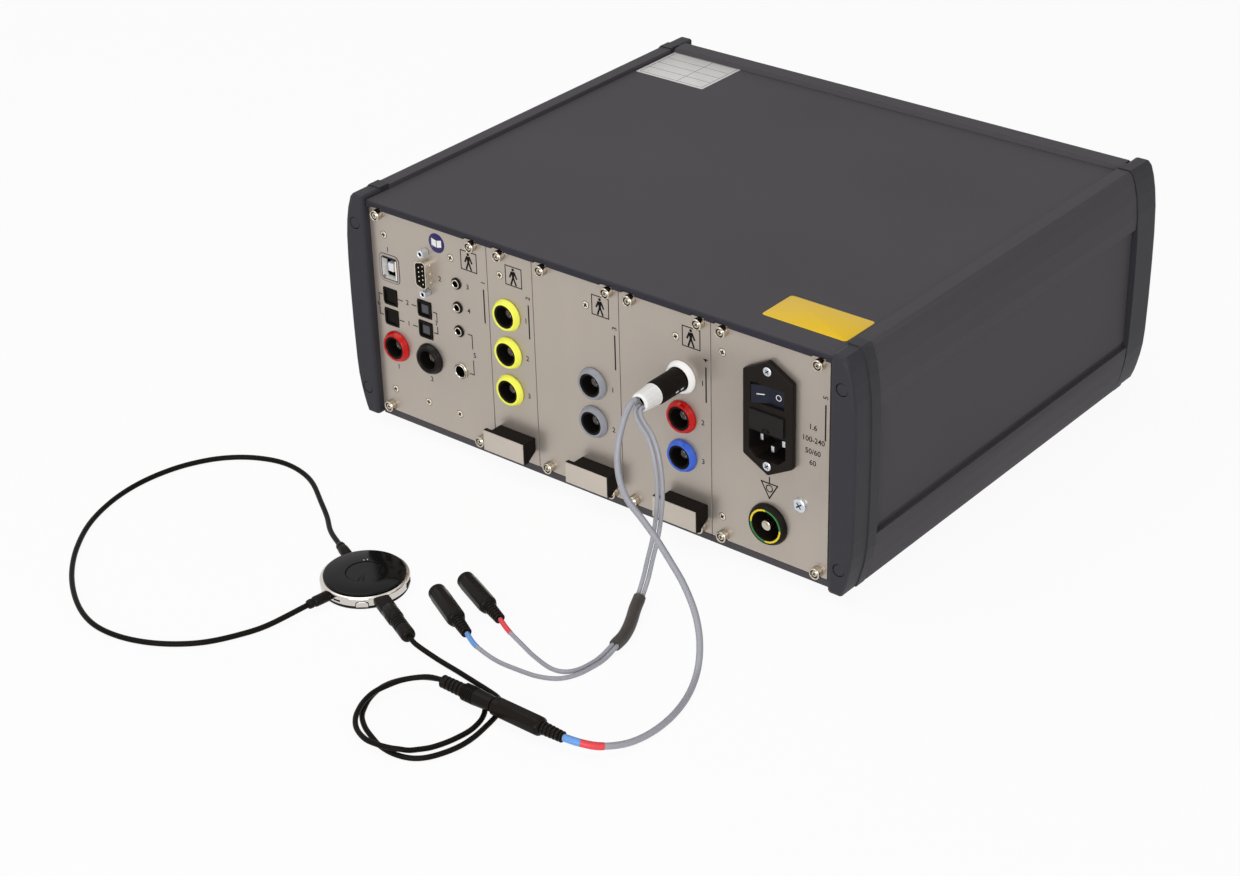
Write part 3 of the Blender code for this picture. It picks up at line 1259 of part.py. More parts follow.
def make_handle(name, index):
    """A hollow pull handle, open below, whose front plate runs on past its left wall."""
    right = handle_right(index)
    left = right - HANDLE_PLATE_WIDTH
    front = -HANDLE_PLATE_OUT
    back = front + HANDLE_PLATE_THICKNESS + HANDLE_BACKING
    outline = [(-GAP, HANDLE_ROOT_LOW), (-GAP, HANDLE_PLATE_HIGH), (front, HANDLE_PLATE_HIGH),
               (front, HANDLE_PLATE_LOW), (back, HANDLE_PLATE_LOW)]
    handle = prism(name, outline, left + HANDLE_WING, right, "yz", black_plastic())
    hollow = box("hollow", (left + HANDLE_WING + HANDLE_WALL, back, HANDLE_PLATE_LOW - OVERRUN),
                 (right - HANDLE_WALL, OVERRUN, HANDLE_PLATE_HIGH - HANDLE_WALL), cutter=True)
    combine(handle, [hollow])
    wing = box("wing", (left, front, HANDLE_PLATE_LOW),
               (left + HANDLE_WING + HANDLE_WALL, back, HANDLE_PLATE_HIGH), cutter=True)
    combine(handle, [wing], "UNION")


def make_handles():
    for name, index in (("air", 1), ("bone", 2), ("field", 3)):
        make_handle(f"pull_handle_{name}", index)


def make_boards():
    """A backplane with the four signal boards plugged into it."""
    end = PANEL_BACK + BOARD_LENGTH
    back = end + CONNECTOR_DEPTH
    right = module_left(4) - BACKPLANE_MARGIN
    boards = box("circuit_boards", (BACKPLANE_MARGIN, back, BACKPLANE_LOW),
                 (right, back + BACKPLANE_THICKNESS, BACKPLANE_HIGH), board_green())
    pieces = []
    for index, share in enumerate(BOARD_SHARES):
        x = module_left(index) + share * MODULE_WIDTHS[index]
        half = CONNECTOR_WIDTH / 2
        pieces.append(box("connector", (x - half, end - OVERRUN, BOARD_LOW + CONNECTOR_INSET),
                          (x + half, back + OVERRUN, BOARD_HIGH - CONNECTOR_INSET), cutter=True))
        pieces.append(box("board", (x - BOARD_THICKNESS / 2, PANEL_BACK, BOARD_LOW),
                          (x + BOARD_THICKNESS / 2, end, BOARD_HIGH), cutter=True))
    combine(boards, pieces, "UNION")


def make_power_unit():
    """Screened power unit standing on the bottom plate."""
    left = module_left(4) + POWER_UNIT_INSET
    right = left + MODULE_WIDTHS[4] - 2 * POWER_UNIT_INSET
    box("power_unit", (left, POWER_UNIT_START, BOTTOM_TOP + GAP),
        (right, POWER_UNIT_START + POWER_UNIT_LENGTH, POWER_UNIT_TOP), galvanised())


def make_patient_plug():
    """Round plug in the white socket: barrel and clamping collet."""
    x, z = panel_place(3, FIELD_SOCKET_SHARES[0])
    start = RING_OUT + GAP
    barrel = [(0, PLUG_OUT), (PLUG_RADIUS - PLUG_STEP, PLUG_OUT), (PLUG_RADIUS, PLUG_OUT - PLUG_STEP),
              (PLUG_RADIUS, start), (PLUG_NOSE_RADIUS, start), (PLUG_NOSE_RADIUS, -PLUG_NOSE_DEPTH),
              (0, -PLUG_NOSE_DEPTH)]
    turned("plug_barrel", barrel, (x, 0, z), OUTWARDS, SIDES_MEDIUM, black_plastic())
    collet = [(0, COLLET_OUT), (COLLET_END_RADIUS, COLLET_OUT),
              (COLLET_BASE_RADIUS, PLUG_OUT + GAP + COLLET_CHAMFER),
              (COLLET_BASE_RADIUS - COLLET_CHAMFER, PLUG_OUT + GAP), (0, PLUG_OUT + GAP)]
    white = plain_colour("plug_white", (0.8, 0.8, 0.8))
    turned("plug_collet", collet, (x, 0, z), OUTWARDS, SIDES_MEDIUM, white)


def heading(turn_deg):
    """A level direction from its turn about +Z."""
    angle = math.radians(turn_deg)
    return Vector((math.cos(angle), math.sin(angle), 0))


def boot_profile(start, length, root, end, ribs):
    """Ribbed taper, from a shoulder down to a cord: wide and narrow rings by turns."""
    points = []
    for i in range(2 * ribs + 1):
        share = i / (2 * ribs)
        radius = root + (end - root) * share
        dip = BOOT_RIB_DEPTH if i % 2 else 0
        points.append((radius - dip, start - share * length))
    return points


def socket_profile():
    """In-line socket from its bored mouth, at height 0, down to the end of its boot."""
    shoulder = -(SOCKET_BODY_LENGTH - SOCKET_SHOULDER)
    profile = [(0, -SOCKET_MOUTH_DEPTH), (SOCKET_MOUTH_BORE, -SOCKET_MOUTH_DEPTH), (SOCKET_MOUTH_BORE, 0),
               (SOCKET_BODY_RADIUS - SOCKET_CHAMFER, 0), (SOCKET_BODY_RADIUS, -SOCKET_CHAMFER),
               (SOCKET_BODY_RADIUS, shoulder)]
    profile += boot_profile(-SOCKET_BODY_LENGTH, BOOT_LENGTH, BOOT_ROOT_RADIUS, BOOT_END_RADIUS, BOOT_RIBS)
    profile.append((0, -SOCKET_BODY_LENGTH - BOOT_LENGTH))
    return profile


def boot_end(place, height, turn_deg):
    """Where a cord meets an in-line socket's boot, a gap before it."""
    return Vector((*place, height)) - heading(turn_deg) * GAP


def mouth_of(place, height, turn_deg):
    return Vector((*place, height)) + heading(turn_deg) * (SOCKET_BODY_LENGTH + BOOT_LENGTH)


def make_inline_sockets():
    """Three in-line sockets and the jack plug that sits in one. Returns where that plug's cord starts."""
    settings = {
        "red": (RED_SOCKET_END, SOCKET_LYING, RED_SOCKET_TURN_DEG),
        "blue": (BLUE_SOCKET_END, SOCKET_LYING, BLUE_SOCKET_TURN_DEG),
        "remote": (REMOTE_SOCKET_END, SOCKET_RAISED, REMOTE_SOCKET_TURN_DEG),
    }
    for name, setting in settings.items():
        turned(f"inline_socket_{name}", socket_profile(), mouth_of(*setting), heading(setting[2]),
               SIDES_SOCKET, black_plastic())
    mouth = mouth_of(*settings["remote"])
    profile = [(0, JACK_PIN_LENGTH), (JACK_PIN_RADIUS, JACK_PIN_LENGTH), (JACK_PIN_RADIUS, 0),
               (JACK_GRIP_RADIUS - SOCKET_CHAMFER, 0), (JACK_GRIP_RADIUS, -SOCKET_CHAMFER)]
    profile += boot_profile(-JACK_GRIP_LENGTH, JACK_BOOT_LENGTH, JACK_GRIP_RADIUS, JACK_BOOT_END_RADIUS,
                            BOOT_RIBS)
    profile.append((0, -JACK_GRIP_LENGTH - JACK_BOOT_LENGTH))
    way = heading(REMOTE_SOCKET_TURN_DEG)
    turned("jack_plug", profile, mouth + way * GAP, -way, SIDES_SMALL, black_plastic())
    return mouth + way * (2 * GAP + JACK_GRIP_LENGTH + JACK_BOOT_LENGTH)


def square_ended(curve, step, radius):
    """Even points along a curve, with one more a diameter from each end to keep the ends square."""
    length = lengths_along(curve)[-1]
    straight = 2 * radius
    path = portion(curve, 0, length, step)
    path.insert(1, portion(curve, 0, straight, straight)[-1])
    path.insert(-1, portion(curve, length - straight, length, straight)[0])
    return path


def cord(name, points, radius, material, step, resolution=TUBE_RESOLUTION):
    """A cord along the smooth curve through its points."""
    curve = dense_curve([Vector(point) for point in points])
    print(f"{name}: length {lengths_along(curve)[-1]:.4f} m")
    tube(name, square_ended(curve, step, radius), radius, material, resolution)
    return curve


def beside(points, offset):
    """Points shifted sideways from a line: level at the plug and on the table, across the hang between."""
    result = []
    for i, point in enumerate(points):
        tangent = (points[min(i + 1, len(points) - 1)] - points[max(i - 1, 0)]).normalized()
        from_level = min(point.z - SLEEVE_ROUTE[0][2], TRUNK_EXIT[2] - point.z)
        share = min(1, max(0, from_level / EAR_LEAD_SETTLE))
        reference = (-UPWARDS).lerp(ACROSS_HANG, share)
        result.append(point + tangent.cross(reference).normalized() * offset)
    return result


def make_ear_leads():
    """The two ear leads, side by side through their sleeve and then apart, each to its own socket."""
    trunk = [Vector(point) for point in (TRUNK_EXIT, *TRUNK_ROUTE, *SLEEVE_ROUTE)]
    half = EAR_LEAD_SPACING / 2
    settings = (
        ("red", -half, RED_LEAD_ROUTE, boot_end(RED_SOCKET_END, SOCKET_LYING, RED_SOCKET_TURN_DEG)),
        ("blue", half, BLUE_LEAD_ROUTE, boot_end(BLUE_SOCKET_END, SOCKET_LYING, BLUE_SOCKET_TURN_DEG)),
    )
    for name, offset, route, end in settings:
        points = beside(trunk, offset) + [Vector(point) for point in route] + [end]
        cord(f"lead_{name}", points, EAR_LEAD_RADIUS, grey_cord(), 5 * EAR_LEAD_RADIUS)
    whole = dense_curve([*trunk, trunk[-1] * 2 - trunk[-2]])
    running = lengths_along(whole)
    start = running[CURVE_POINTS * (len(TRUNK_ROUTE) + 1)]
    stop = running[CURVE_POINTS * (len(trunk) - 1)]
    sleeve = tube("lead_sleeve", portion(whole, start, stop, 2 * SLEEVE_RADIUS), SLEEVE_RADIUS, rubber())
    bore = tube("bore", portion(whole, start - OVERRUN, stop + OVERRUN, 2 * SLEEVE_RADIUS), SLEEVE_BORE,
                cutter=True)
    combine(sleeve, [bore])


def make_remote_cable():
    """The cable of the hand remote, from the plug to its in-line socket."""
    end = boot_end(REMOTE_SOCKET_END, SOCKET_RAISED, REMOTE_SOCKET_TURN_DEG)
    cord("remote_cable", [CABLE_EXIT, *CABLE_ROUTE, end], REMOTE_CABLE_RADIUS, grey_cord(),
         3 * REMOTE_CABLE_RADIUS)


def make_remote_cord(start):
    """The black cord with its two loops, from the jack plug to the remote's plug, in one tube."""
    end = remote_plug_end()
    way_in = heading(REMOTE_SOCKET_TURN_DEG)
    way_out = heading(REMOTE_PLUG_TURN_DEG)
    straight = 2 * BLACK_CORD_RADIUS
    points = [start, start + way_in * straight, *CORD_ROUTE, end + way_out * straight, end]
    curve = cord("remote_cord", points, BLACK_CORD_RADIUS, rubber(), CORD_STEP, CORD_RESOLUTION)
    close = portion(curve, 0, lengths_along(curve)[-1], BLACK_CORD_RADIUS / 2)
    gap = least_gap(close, BLACK_CORD_RADIUS)
    print(f"remote_cord: least gap to itself {gap * 1000:.2f} mm, wanted over {LEAST_CORD_GAP * 1000:.2f} mm")


def remote_plug_end():
    """End of the remote's plug, a gap past its boot."""
    reach = REMOTE_RADIUS + GAP + REMOTE_PLUG_LENGTH + GAP
    return Vector((*REMOTE_CENTRE, REMOTE_MIDDLE)) + heading(REMOTE_PLUG_TURN_DEG) * reach


def make_remote_plug():
    """The moulded plug at the hand remote: neck, grip and ribbed boot."""
    middle = Vector((*REMOTE_CENTRE, REMOTE_MIDDLE))
    start = REMOTE_RADIUS + GAP
    tip = start + REMOTE_PLUG_LENGTH
    neck = start + REMOTE_PLUG_NECK_SHARE * REMOTE_PLUG_LENGTH
    grip = start + REMOTE_PLUG_BOOT_SHARE * REMOTE_PLUG_LENGTH
    profile = [(0, tip)]
    profile += reversed(boot_profile(grip, grip - tip, REMOTE_PLUG_GRIP_RADIUS, BOOT_END_RADIUS, BOOT_RIBS))
    profile += [(REMOTE_PLUG_GRIP_RADIUS, neck + SOCKET_CHAMFER), (REMOTE_PLUG_NECK_RADIUS, neck),
                (REMOTE_PLUG_NECK_RADIUS, start), (0, start)]
    turned("remote_plug", profile, middle, heading(REMOTE_PLUG_TURN_DEG), SIDES_SMALL, rubber())


def make_neck_loop():
    """The cord loop for the wearer's neck, thicker where its two ends enter the remote."""
    middle = Vector((*REMOTE_CENTRE, REMOTE_MIDDLE))
    root, tip = REMOTE_RADIUS + GAP, REMOTE_RADIUS + GAP + NECK_END_LENGTH
    first, last = (heading(turn_deg) for turn_deg in NECK_END_TURNS_DEG)
    half = (root + tip) / 2
    points = [middle + first * root, middle + first * half, middle + first * tip,
              *(Vector(point) for point in NECK_ROUTE),
              middle + last * tip, middle + last * half, middle + last * root]
    curve = dense_curve(points)
    length = lengths_along(curve)[-1]
    print(f"neck_loop: length {length:.4f} m")
    path = square_ended(curve, 5 * NECK_CORD_RADIUS, NECK_CORD_RADIUS)
    running = lengths_along(path)
    shares = []
    for along in running:
        inwards = min(along, running[-1] - along) / NECK_END_LENGTH
        thick = NECK_END_RADIUS + (NECK_END_TIP_RADIUS - NECK_END_RADIUS) * inwards
        shares.append(thick / NECK_CORD_RADIUS if inwards < 1 else 1)
    tube("neck_loop", path, NECK_CORD_RADIUS, rubber(), radius_shares=shares)


def make_remote():
    """Round hand remote: base, bright ring with a rim button, face and centre button."""
    place = (*REMOTE_CENTRE, 0)
    base_top = TABLE + REMOTE_BASE_HEIGHT
    edge = REMOTE_RADIUS - GAP
    base = [(0, base_top), (edge, base_top), (edge, TABLE + REMOTE_BASE_HEIGHT / 2),
            (edge - REMOTE_BASE_TAPER, TABLE), (0, TABLE)]
    turned("remote_base", base, place, UPWARDS, SIDES_LARGE, black_plastic())
    inner = REMOTE_RADIUS - REMOTE_RING_WALL
    profile = [(inner, REMOTE_RING_TOP), (REMOTE_RADIUS - REMOTE_RING_ROUND, REMOTE_RING_TOP),
               (REMOTE_RADIUS, REMOTE_RING_TOP - REMOTE_RING_ROUND), (REMOTE_RADIUS, REMOTE_RING_LOW),
               (inner, REMOTE_RING_LOW)]
    rim = turned("remote_ring", profile, place, UPWARDS, SIDES_LARGE, zinc(), closed=True)
    apply_modifiers(rim)
    combine(rim, [rim_block("slot", GAP, REMOTE_RADIUS - REMOTE_RING_WALL - OVERRUN,
                            REMOTE_RADIUS + OVERRUN, cutter=True)])
    button = rim_block("remote_rim_button", 0, REMOTE_RADIUS - RIM_BUTTON_DEPTH,
                       REMOTE_RADIUS + RIM_BUTTON_PROUD, nickel())
    way = heading(RIM_BUTTON_TURN_DEG)
    move_origin(button, at(*(Vector((*REMOTE_CENTRE, REMOTE_MIDDLE)) + way * REMOTE_RADIUS)))
    hole = REMOTE_BUTTON_RADIUS + GAP
    face = [(hole, REMOTE_FACE_TOP), (REMOTE_FACE_RADIUS - REMOTE_RING_ROUND, REMOTE_FACE_TOP),
            (REMOTE_FACE_RADIUS, REMOTE_FACE_LOW + REMOTE_RING_ROUND), (REMOTE_FACE_RADIUS, REMOTE_FACE_LOW),
            (hole, REMOTE_FACE_LOW)]
    turned("remote_face", face, place, UPWARDS, SIDES_LARGE, black_plastic(), closed=True)
    top = REMOTE_FACE_TOP - REMOTE_BUTTON_SINK
    low = top - REMOTE_BUTTON_HEIGHT
    disc = [(0, top), (REMOTE_BUTTON_RADIUS, top), (REMOTE_BUTTON_RADIUS, low), (0, low)]
    turned("remote_button", disc, place, UPWARDS, SIDES_MEDIUM, black_plastic())


def rim_block(name, grow, inner, outer, material=None, cutter=False):
    """An arched block across the remote's ring, standing on its lower edge. The cutter runs on below."""
    half = RIM_BUTTON_LENGTH / 2 + grow
    spring = RIM_BUTTON_HEIGHT - RIM_BUTTON_ARCH
    outline = [(-half, -OVERRUN if cutter else 0), (half, -OVERRUN if cutter else 0)]
    for step in range(RIM_BUTTON_ARCH_STEPS + 1):
        angle = math.pi * step / RIM_BUTTON_ARCH_STEPS
        outline.append((half * math.cos(angle), spring + (RIM_BUTTON_ARCH + grow) * math.sin(angle)))
    work = bmesh.new()
    rings = [[work.verts.new((reach, across, up)) for across, up in outline] for reach in (inner, outer)]
    for ring in rings:
        work.faces.new(ring)
    for i, j in zip(range(len(outline)), [*range(1, len(outline)), 0]):
        work.faces.new((rings[0][i], rings[0][j], rings[1][j], rings[1][i]))
    bmesh.ops.recalc_face_normals(work, faces=work.faces)
    turn = Quaternion(UPWARDS, math.radians(RIM_BUTTON_TURN_DEG))
    return finish_mesh(name, work, material, at(*REMOTE_CENTRE, REMOTE_RING_LOW), turn, cutter)


def shade_pieces():
    """Smooth shading on round faces, sharp at the corners."""
    for item in bpy.data.collections["audiometer"].objects:
        item.data.shade_smooth()
        item.data.set_sharp_from_angle(angle=math.radians(SMOOTH_ANGLE_DEG))


def main():
    clear_scene()
    make_collections()
    make_cheeks()
    make_side("left")
    make_side("right")
    make_cover()
    make_bottom()
    make_front()
    make_cross_rails()
    make_panels()
    make_screw_strip("screw_strip_lower", SCREW_ROW_LOW)
    make_screw_strip("screw_strip_upper", SCREW_ROW_HIGH)
    make_sockets()
    make_usb()
    make_serial()
    make_jacks()
    make_optical()
    make_inlet_housing()
    make_rocker()
    make_drawer()
    make_earth_terminal()
    make_handles()
    make_boards()
    make_power_unit()
    make_patient_plug()
    cord_start = make_inline_sockets()
    make_remote_cable()
    make_ear_leads()
    make_remote_cord(cord_start)
    make_remote_plug()
    make_neck_loop()
    make_remote()
    shade_pieces()


main()
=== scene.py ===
"""Looks of a rack-built audiometer with its patient cords and its round hand remote.

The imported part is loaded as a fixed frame, and every piece here is made around it. Places
on the connector panels are in millimetres from their lower left corner: X runs right, Y
runs into the case and Z runs up, as at() says. A piece on the panels is drawn in its own
sheet, whose axes run right, up and outwards.
"""

import math

import bmesh
import bpy
from bpy.props import FloatProperty, FloatVectorProperty, PointerProperty
from bpy.types import Operator, Panel, PropertyGroup
from mathutils import Matrix, Vector


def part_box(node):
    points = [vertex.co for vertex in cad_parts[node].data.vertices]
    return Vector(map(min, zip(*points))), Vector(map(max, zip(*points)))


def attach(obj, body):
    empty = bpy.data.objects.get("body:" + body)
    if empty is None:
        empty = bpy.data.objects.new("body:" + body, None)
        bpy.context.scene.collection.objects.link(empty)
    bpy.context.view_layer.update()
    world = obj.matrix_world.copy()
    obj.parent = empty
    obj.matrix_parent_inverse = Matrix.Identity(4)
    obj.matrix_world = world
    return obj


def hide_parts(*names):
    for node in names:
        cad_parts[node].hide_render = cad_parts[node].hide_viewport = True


bl_info = {
    "name": "Audiometer looks",
    "version": (1, 0, 0),
    "blender": (4, 5, 0),
    "location": "View3D > Sidebar > Audiometer",
    "description": "Builds the visible pieces and the finishes of a rack-built audiometer",
    "category": "Object",
}

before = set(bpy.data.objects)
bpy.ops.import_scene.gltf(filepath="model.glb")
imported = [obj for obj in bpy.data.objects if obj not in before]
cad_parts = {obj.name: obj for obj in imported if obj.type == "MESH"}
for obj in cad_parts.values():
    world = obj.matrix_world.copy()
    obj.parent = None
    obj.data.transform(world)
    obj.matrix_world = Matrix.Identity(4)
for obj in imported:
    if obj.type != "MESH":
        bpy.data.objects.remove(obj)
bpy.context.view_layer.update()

MM = 0.001
FRAME_CORNER = Vector((160.5, 69.2, -10.5))
UP = Vector((0, 0, 1))
OUT = Vector((0, -1, 0))
SMOOTH_ANGLE = math.radians(35)
# Sides of turned pieces, from the widest to the thinnest
WIDEST, WIDE, ROUND, FINE, THIN = 128, 96, 48, 32, 16
# Points nearer than this are one, in millimetres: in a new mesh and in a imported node
WELD, NODE_WELD = 0.0001, 0.005

# Places on the panels, as X and Z in millimetres
COLLAR_SCREW_STEPS = (0, 14, 18, 24, 33, 36, 45, 48, 60)
COLLAR_SCREW_ROWS = {"lower": 3.0, "upper": 125.5}
GRID_START, GRID_PITCH = 7.45, 5.08
FLUSH_SCREWS = (
    (10.4, 113.4), (61.4, 113.2), (11.0, 14.6), (37.3, 14.4), (61.5, 14.3),
    (97.8, 113.0), (158.9, 112.9), (220.0, 112.7), (250.5, 112.7), (249.9, 13.9),
)
INLET_SCREWS = ((281.88, 112.9), (281.88, 57.5))
CHASSIS_SCREW = (300.8, 39.3)
SYMBOLS = ((75.1, 114.8), (107.9, 114.8), (169.1, 114.8), (230.2, 114.8))
BLUE_DISC = (51.4, 119.4)
SOCKETS = {
    "socket_line_red": ("red", ((15.0, 43.82),)),
    "socket_line_black": ("black", ((41.0, 43.82),)),
    "sockets_yellow": ("yellow", ((102.05, 89.9), (102.05, 66.5), (102.05, 43.0))),
    "sockets_grey": ("grey", ((162.48, 66.43), (162.48, 42.92))),
    "socket_field_white": ("white", ((223.58, 89.9),)),
    "socket_field_red": ("red", ((223.58, 66.13),)),
    "socket_field_blue": ("blue", ((223.58, 42.53),)),
}
SMALL_JACKS = ((64.95, 98.43), (64.95, 83.59), (64.95, 68.68))
LARGE_JACK = (64.95, 43.43)
DATA_SOCKET = (13.2, 92.97)
SERIAL = (42.72, 99.39)
OPTICAL = {
    "in_upper": (12.22, 74.66), "in_lower": (12.22, 61.55),
    "out_upper": (38.79, 74.66), "out_lower": (38.79, 61.55),
}
INLET = (281.88, 85.2)
INLET_OUT = 3.8
EARTH = (280.71, 20.69)
EARTH_SIGN = (280.75, 42.0)
HANDLE_RIGHTS = {"air": 118.8, "bone": 179.3, "field": 240.5}
HANDLE_WIDTH = 30.4
HANDLE_PLATE = ((4.8, 9.7), (17.3, 10.3))
CAP_PLACES = ((-7.4, 117.6), (-7.4, 11.9), (328.4, 117.6), (328.4, 11.9))
CAP_OUT, CAP_BACK = 4.9, 300.0
# The rocker's pivot over the inlet's middle, its tilt at rest, and the middles of its marks
ROCKER_DEPTH, ROCKER_RISE, ROCKER_TILT = -1.8, 13.4, 12
ROCKER_MARKS = ((-4.6, 2 * ROCKER_TILT), (5.8, 0))
BLADES = ((-7, -14.6), (7, -14.6), (0, -19.8))
# Middle, width and height, and corner of each label on the cover
LABELS = {
    "white": ((27.4, 260.5), (52.2, 41.0), 0.6),
    "yellow": ((290.7, 27.9), (52.5, 26.8), 2.0),
}
REMOTE = (116.5, -137.6)
NUMBERS = (
    ("1", 12.6, 104.6), ("2", 52.2, 97.4), ("3", 73.2, 98.4), ("4", 73.2, 83.5), ("5", 75.7, 56.3),
    ("1", 14.9, 30.4), ("2", 41.0, 30.4), ("2", 25.4, 74.7), ("1", 25.5, 61.5), ("6", 2.6, 68.1),
    ("7", 47.4, 68.1), ("1", 115.6, 90.0), ("2", 115.6, 66.7), ("3", 115.6, 43.2), ("1", 176.2, 66.5),
    ("2", 176.2, 41.9), ("1", 237.4, 90.2), ("2", 237.4, 66.7), ("3", 237.4, 43.1),
    ("1.6", 307.9, 87.4), ("100-240", 308.2, 80.0), ("50/60", 308.0, 73.0), ("60", 308.0, 66.6),
)
MODULE_NUMBERS = (("1", 85.1, 104.5), ("2", 117.8, 104.5), ("3", 178.6, 104.5), ("4", 239.7, 104.5),
                  ("5", 315.6, 107.0))
# Start and end of the rule under a module's number, and its width in printed lines
RULE_START, RULE_END, RULE_WIDTH = 4.5, 24.5, 1.5
BRACKET_LINES = (
    ((5.6, 74.7), (3.0, 74.7), (3.0, 70.4)), ((5.6, 61.6), (3.0, 61.6), (3.0, 65.9)),
    ((45.4, 74.7), (48.0, 74.7), (48.0, 70.4)), ((45.4, 61.6), (48.0, 61.6), (48.0, 65.9)),
    ((18.4, 74.7), (21.6, 74.7)), ((29.0, 74.7), (32.2, 74.7)),
    ((18.4, 61.6), (21.6, 61.6)), ((29.0, 61.6), (32.2, 61.6)),
    ((71.6, 68.7), (74.4, 68.7), (74.4, 60.2)), ((71.6, 43.7), (74.4, 43.7), (74.4, 52.6)),
)
# A figure of a person, as shares of its frame from the lower left corner
HEAD, HEAD_RADIUS = (0.48, 0.84), 0.075
TRUNK = ((0.36, 0.735), (0.585, 0.75), (0.535, 0.37), (0.435, 0.37))
LIMBS = (
    ((0.395, 0.70), (0.29, 0.46)), ((0.555, 0.71), (0.68, 0.455)),
    ((0.465, 0.42), (0.355, 0.11)), ((0.505, 0.42), (0.635, 0.11)),
)
LIMB = 0.095

# Routes of the cords, in metres in the panels' frame, as the part's source lays them
CABLE_EXIT = (0.2215, -0.0363, 0.0911)
CABLE_ROUTE = (
    (0.2215, -0.0390, 0.0909), (0.2214, -0.0425, 0.0884), (0.2219, -0.0472, 0.0826),
    (0.2228, -0.0520, 0.0745),
    (0.2250, -0.0562, 0.0655), (0.2298, -0.0602, 0.0570), (0.2378, -0.0638, 0.0498),
    (0.2486, -0.0668, 0.0450), (0.2600, -0.0700, 0.0394), (0.2724, -0.0740, 0.0322),
    (0.2846, -0.0780, 0.0240), (0.2962, -0.0838, 0.0140), (0.3046, -0.0912, 0.0040),
    (0.3105, -0.1010, -0.0050), (0.3168, -0.1167, -0.0083), (0.3212, -0.1353, -0.0086),
    (0.3216, -0.1525, -0.0084), (0.3186, -0.1670, -0.0074), (0.3120, -0.1790, -0.0050),
    (0.3040, -0.1848, -0.0030),
)
TRUNK_EXIT = (0.2254, -0.0363, 0.0886)
TRUNK_ROUTE = (
    (0.2254, -0.0373, 0.0886), (0.2256, -0.0390, 0.0884), (0.2276, -0.0417, 0.0868),
    (0.2318, -0.0436, 0.0838), (0.2372, -0.0450, 0.0802),
    (0.2415, -0.0464, 0.0748), (0.2446, -0.0478, 0.0682), (0.2468, -0.0490, 0.0592),
    (0.2481, -0.0506, 0.0490), (0.2484, -0.0528, 0.0366), (0.2478, -0.0550, 0.0256),
    (0.2464, -0.0574, 0.0148), (0.2452, -0.0602, 0.0034),
)
SLEEVE_ROUTE = (
    (0.2455, -0.0655, -0.0046), (0.2486, -0.0735, -0.0068), (0.2530, -0.0815, -0.00705),
    (0.2570, -0.0895, -0.00705), (0.2600, -0.0975, -0.00705), (0.2614, -0.1058, -0.00705),
)
RED_LEAD_ROUTE = (
    (0.2602, -0.1160, -0.0091), (0.2598, -0.1240, -0.0093),
    (0.2580, -0.1318, -0.0093), (0.2535, -0.1372, -0.0093), (0.2455, -0.1386, -0.0093),
    (0.2322, -0.1354, -0.0093), (0.2215, -0.1318, -0.0088), (0.2095, -0.1284, -0.0070),
)
BLUE_LEAD_ROUTE = (
    (0.2632, -0.1160, -0.0091), (0.2626, -0.1250, -0.0093),
    (0.2606, -0.1350, -0.0093), (0.2555, -0.1432, -0.0093), (0.2460, -0.1480, -0.0093),
    (0.2335, -0.1497, -0.0093), (0.2200, -0.1505, -0.0088), (0.2050, -0.1487, -0.0070),
)
CORD_ROUTE = (
    (0.2082, -0.1875, -0.00350), (0.2022, -0.1914, -0.00440), (0.1977, -0.1968, -0.00500),
    (0.1952, -0.2035, -0.00530), (0.1938, -0.2107, -0.00540), (0.1945, -0.2175, -0.00550),
    (0.1969, -0.2246, -0.00560), (0.2012, -0.2322, -0.00600), (0.2079, -0.2382, -0.00620),
    (0.2173, -0.2420, -0.00580), (0.2257, -0.2419, -0.00550), (0.2321, -0.2403, -0.00545),
    (0.2362, -0.2382, -0.00560), (0.2390, -0.2348, -0.00710), (0.2410, -0.2298, -0.00855),
    (0.2441, -0.2247, -0.00905), (0.2472, -0.2174, -0.00905), (0.2491, -0.2097, -0.00905),
    (0.2499, -0.2025, -0.00905), (0.2489, -0.1953, -0.00905), (0.2469, -0.1900, -0.00905),
    (0.2442, -0.1858, -0.00905), (0.2404, -0.1824, -0.00905), (0.2355, -0.1800, -0.00905),
    (0.2290, -0.1784, -0.00905), (0.2200, -0.1778, -0.00905), (0.2110, -0.1790, -0.00905),
    (0.2020, -0.1827, -0.00905), (0.1971, -0.1871, -0.00905), (0.1932, -0.1924, -0.00905),
    (0.1907, -0.1985, -0.00905), (0.1902, -0.2051, -0.00905), (0.1919, -0.2127, -0.00905),
    (0.1948, -0.2191, -0.00905), (0.1994, -0.2261, -0.00905), (0.2070, -0.2319, -0.00905),
    (0.2155, -0.2358, -0.00905), (0.2244, -0.2388, -0.00905), (0.2334, -0.2393, -0.00905),
    (0.2418, -0.2371, -0.00905), (0.2477, -0.2322, -0.00905), (0.2520, -0.2241, -0.00905),
    (0.2546, -0.2149, -0.00905), (0.2550, -0.2056, -0.00905), (0.2538, -0.1958, -0.00905),
    (0.2524, -0.1880, -0.00905), (0.2506, -0.1815, -0.00905), (0.2472, -0.1766, -0.00905),
    (0.2418, -0.1739, -0.00905), (0.2353, -0.1726, -0.00905), (0.2240, -0.1710, -0.00905),
    (0.2110, -0.1692, -0.00905), (0.1980, -0.1680, -0.00870), (0.1875, -0.1676, -0.00720),
    (0.1805, -0.1670, -0.00620),
)
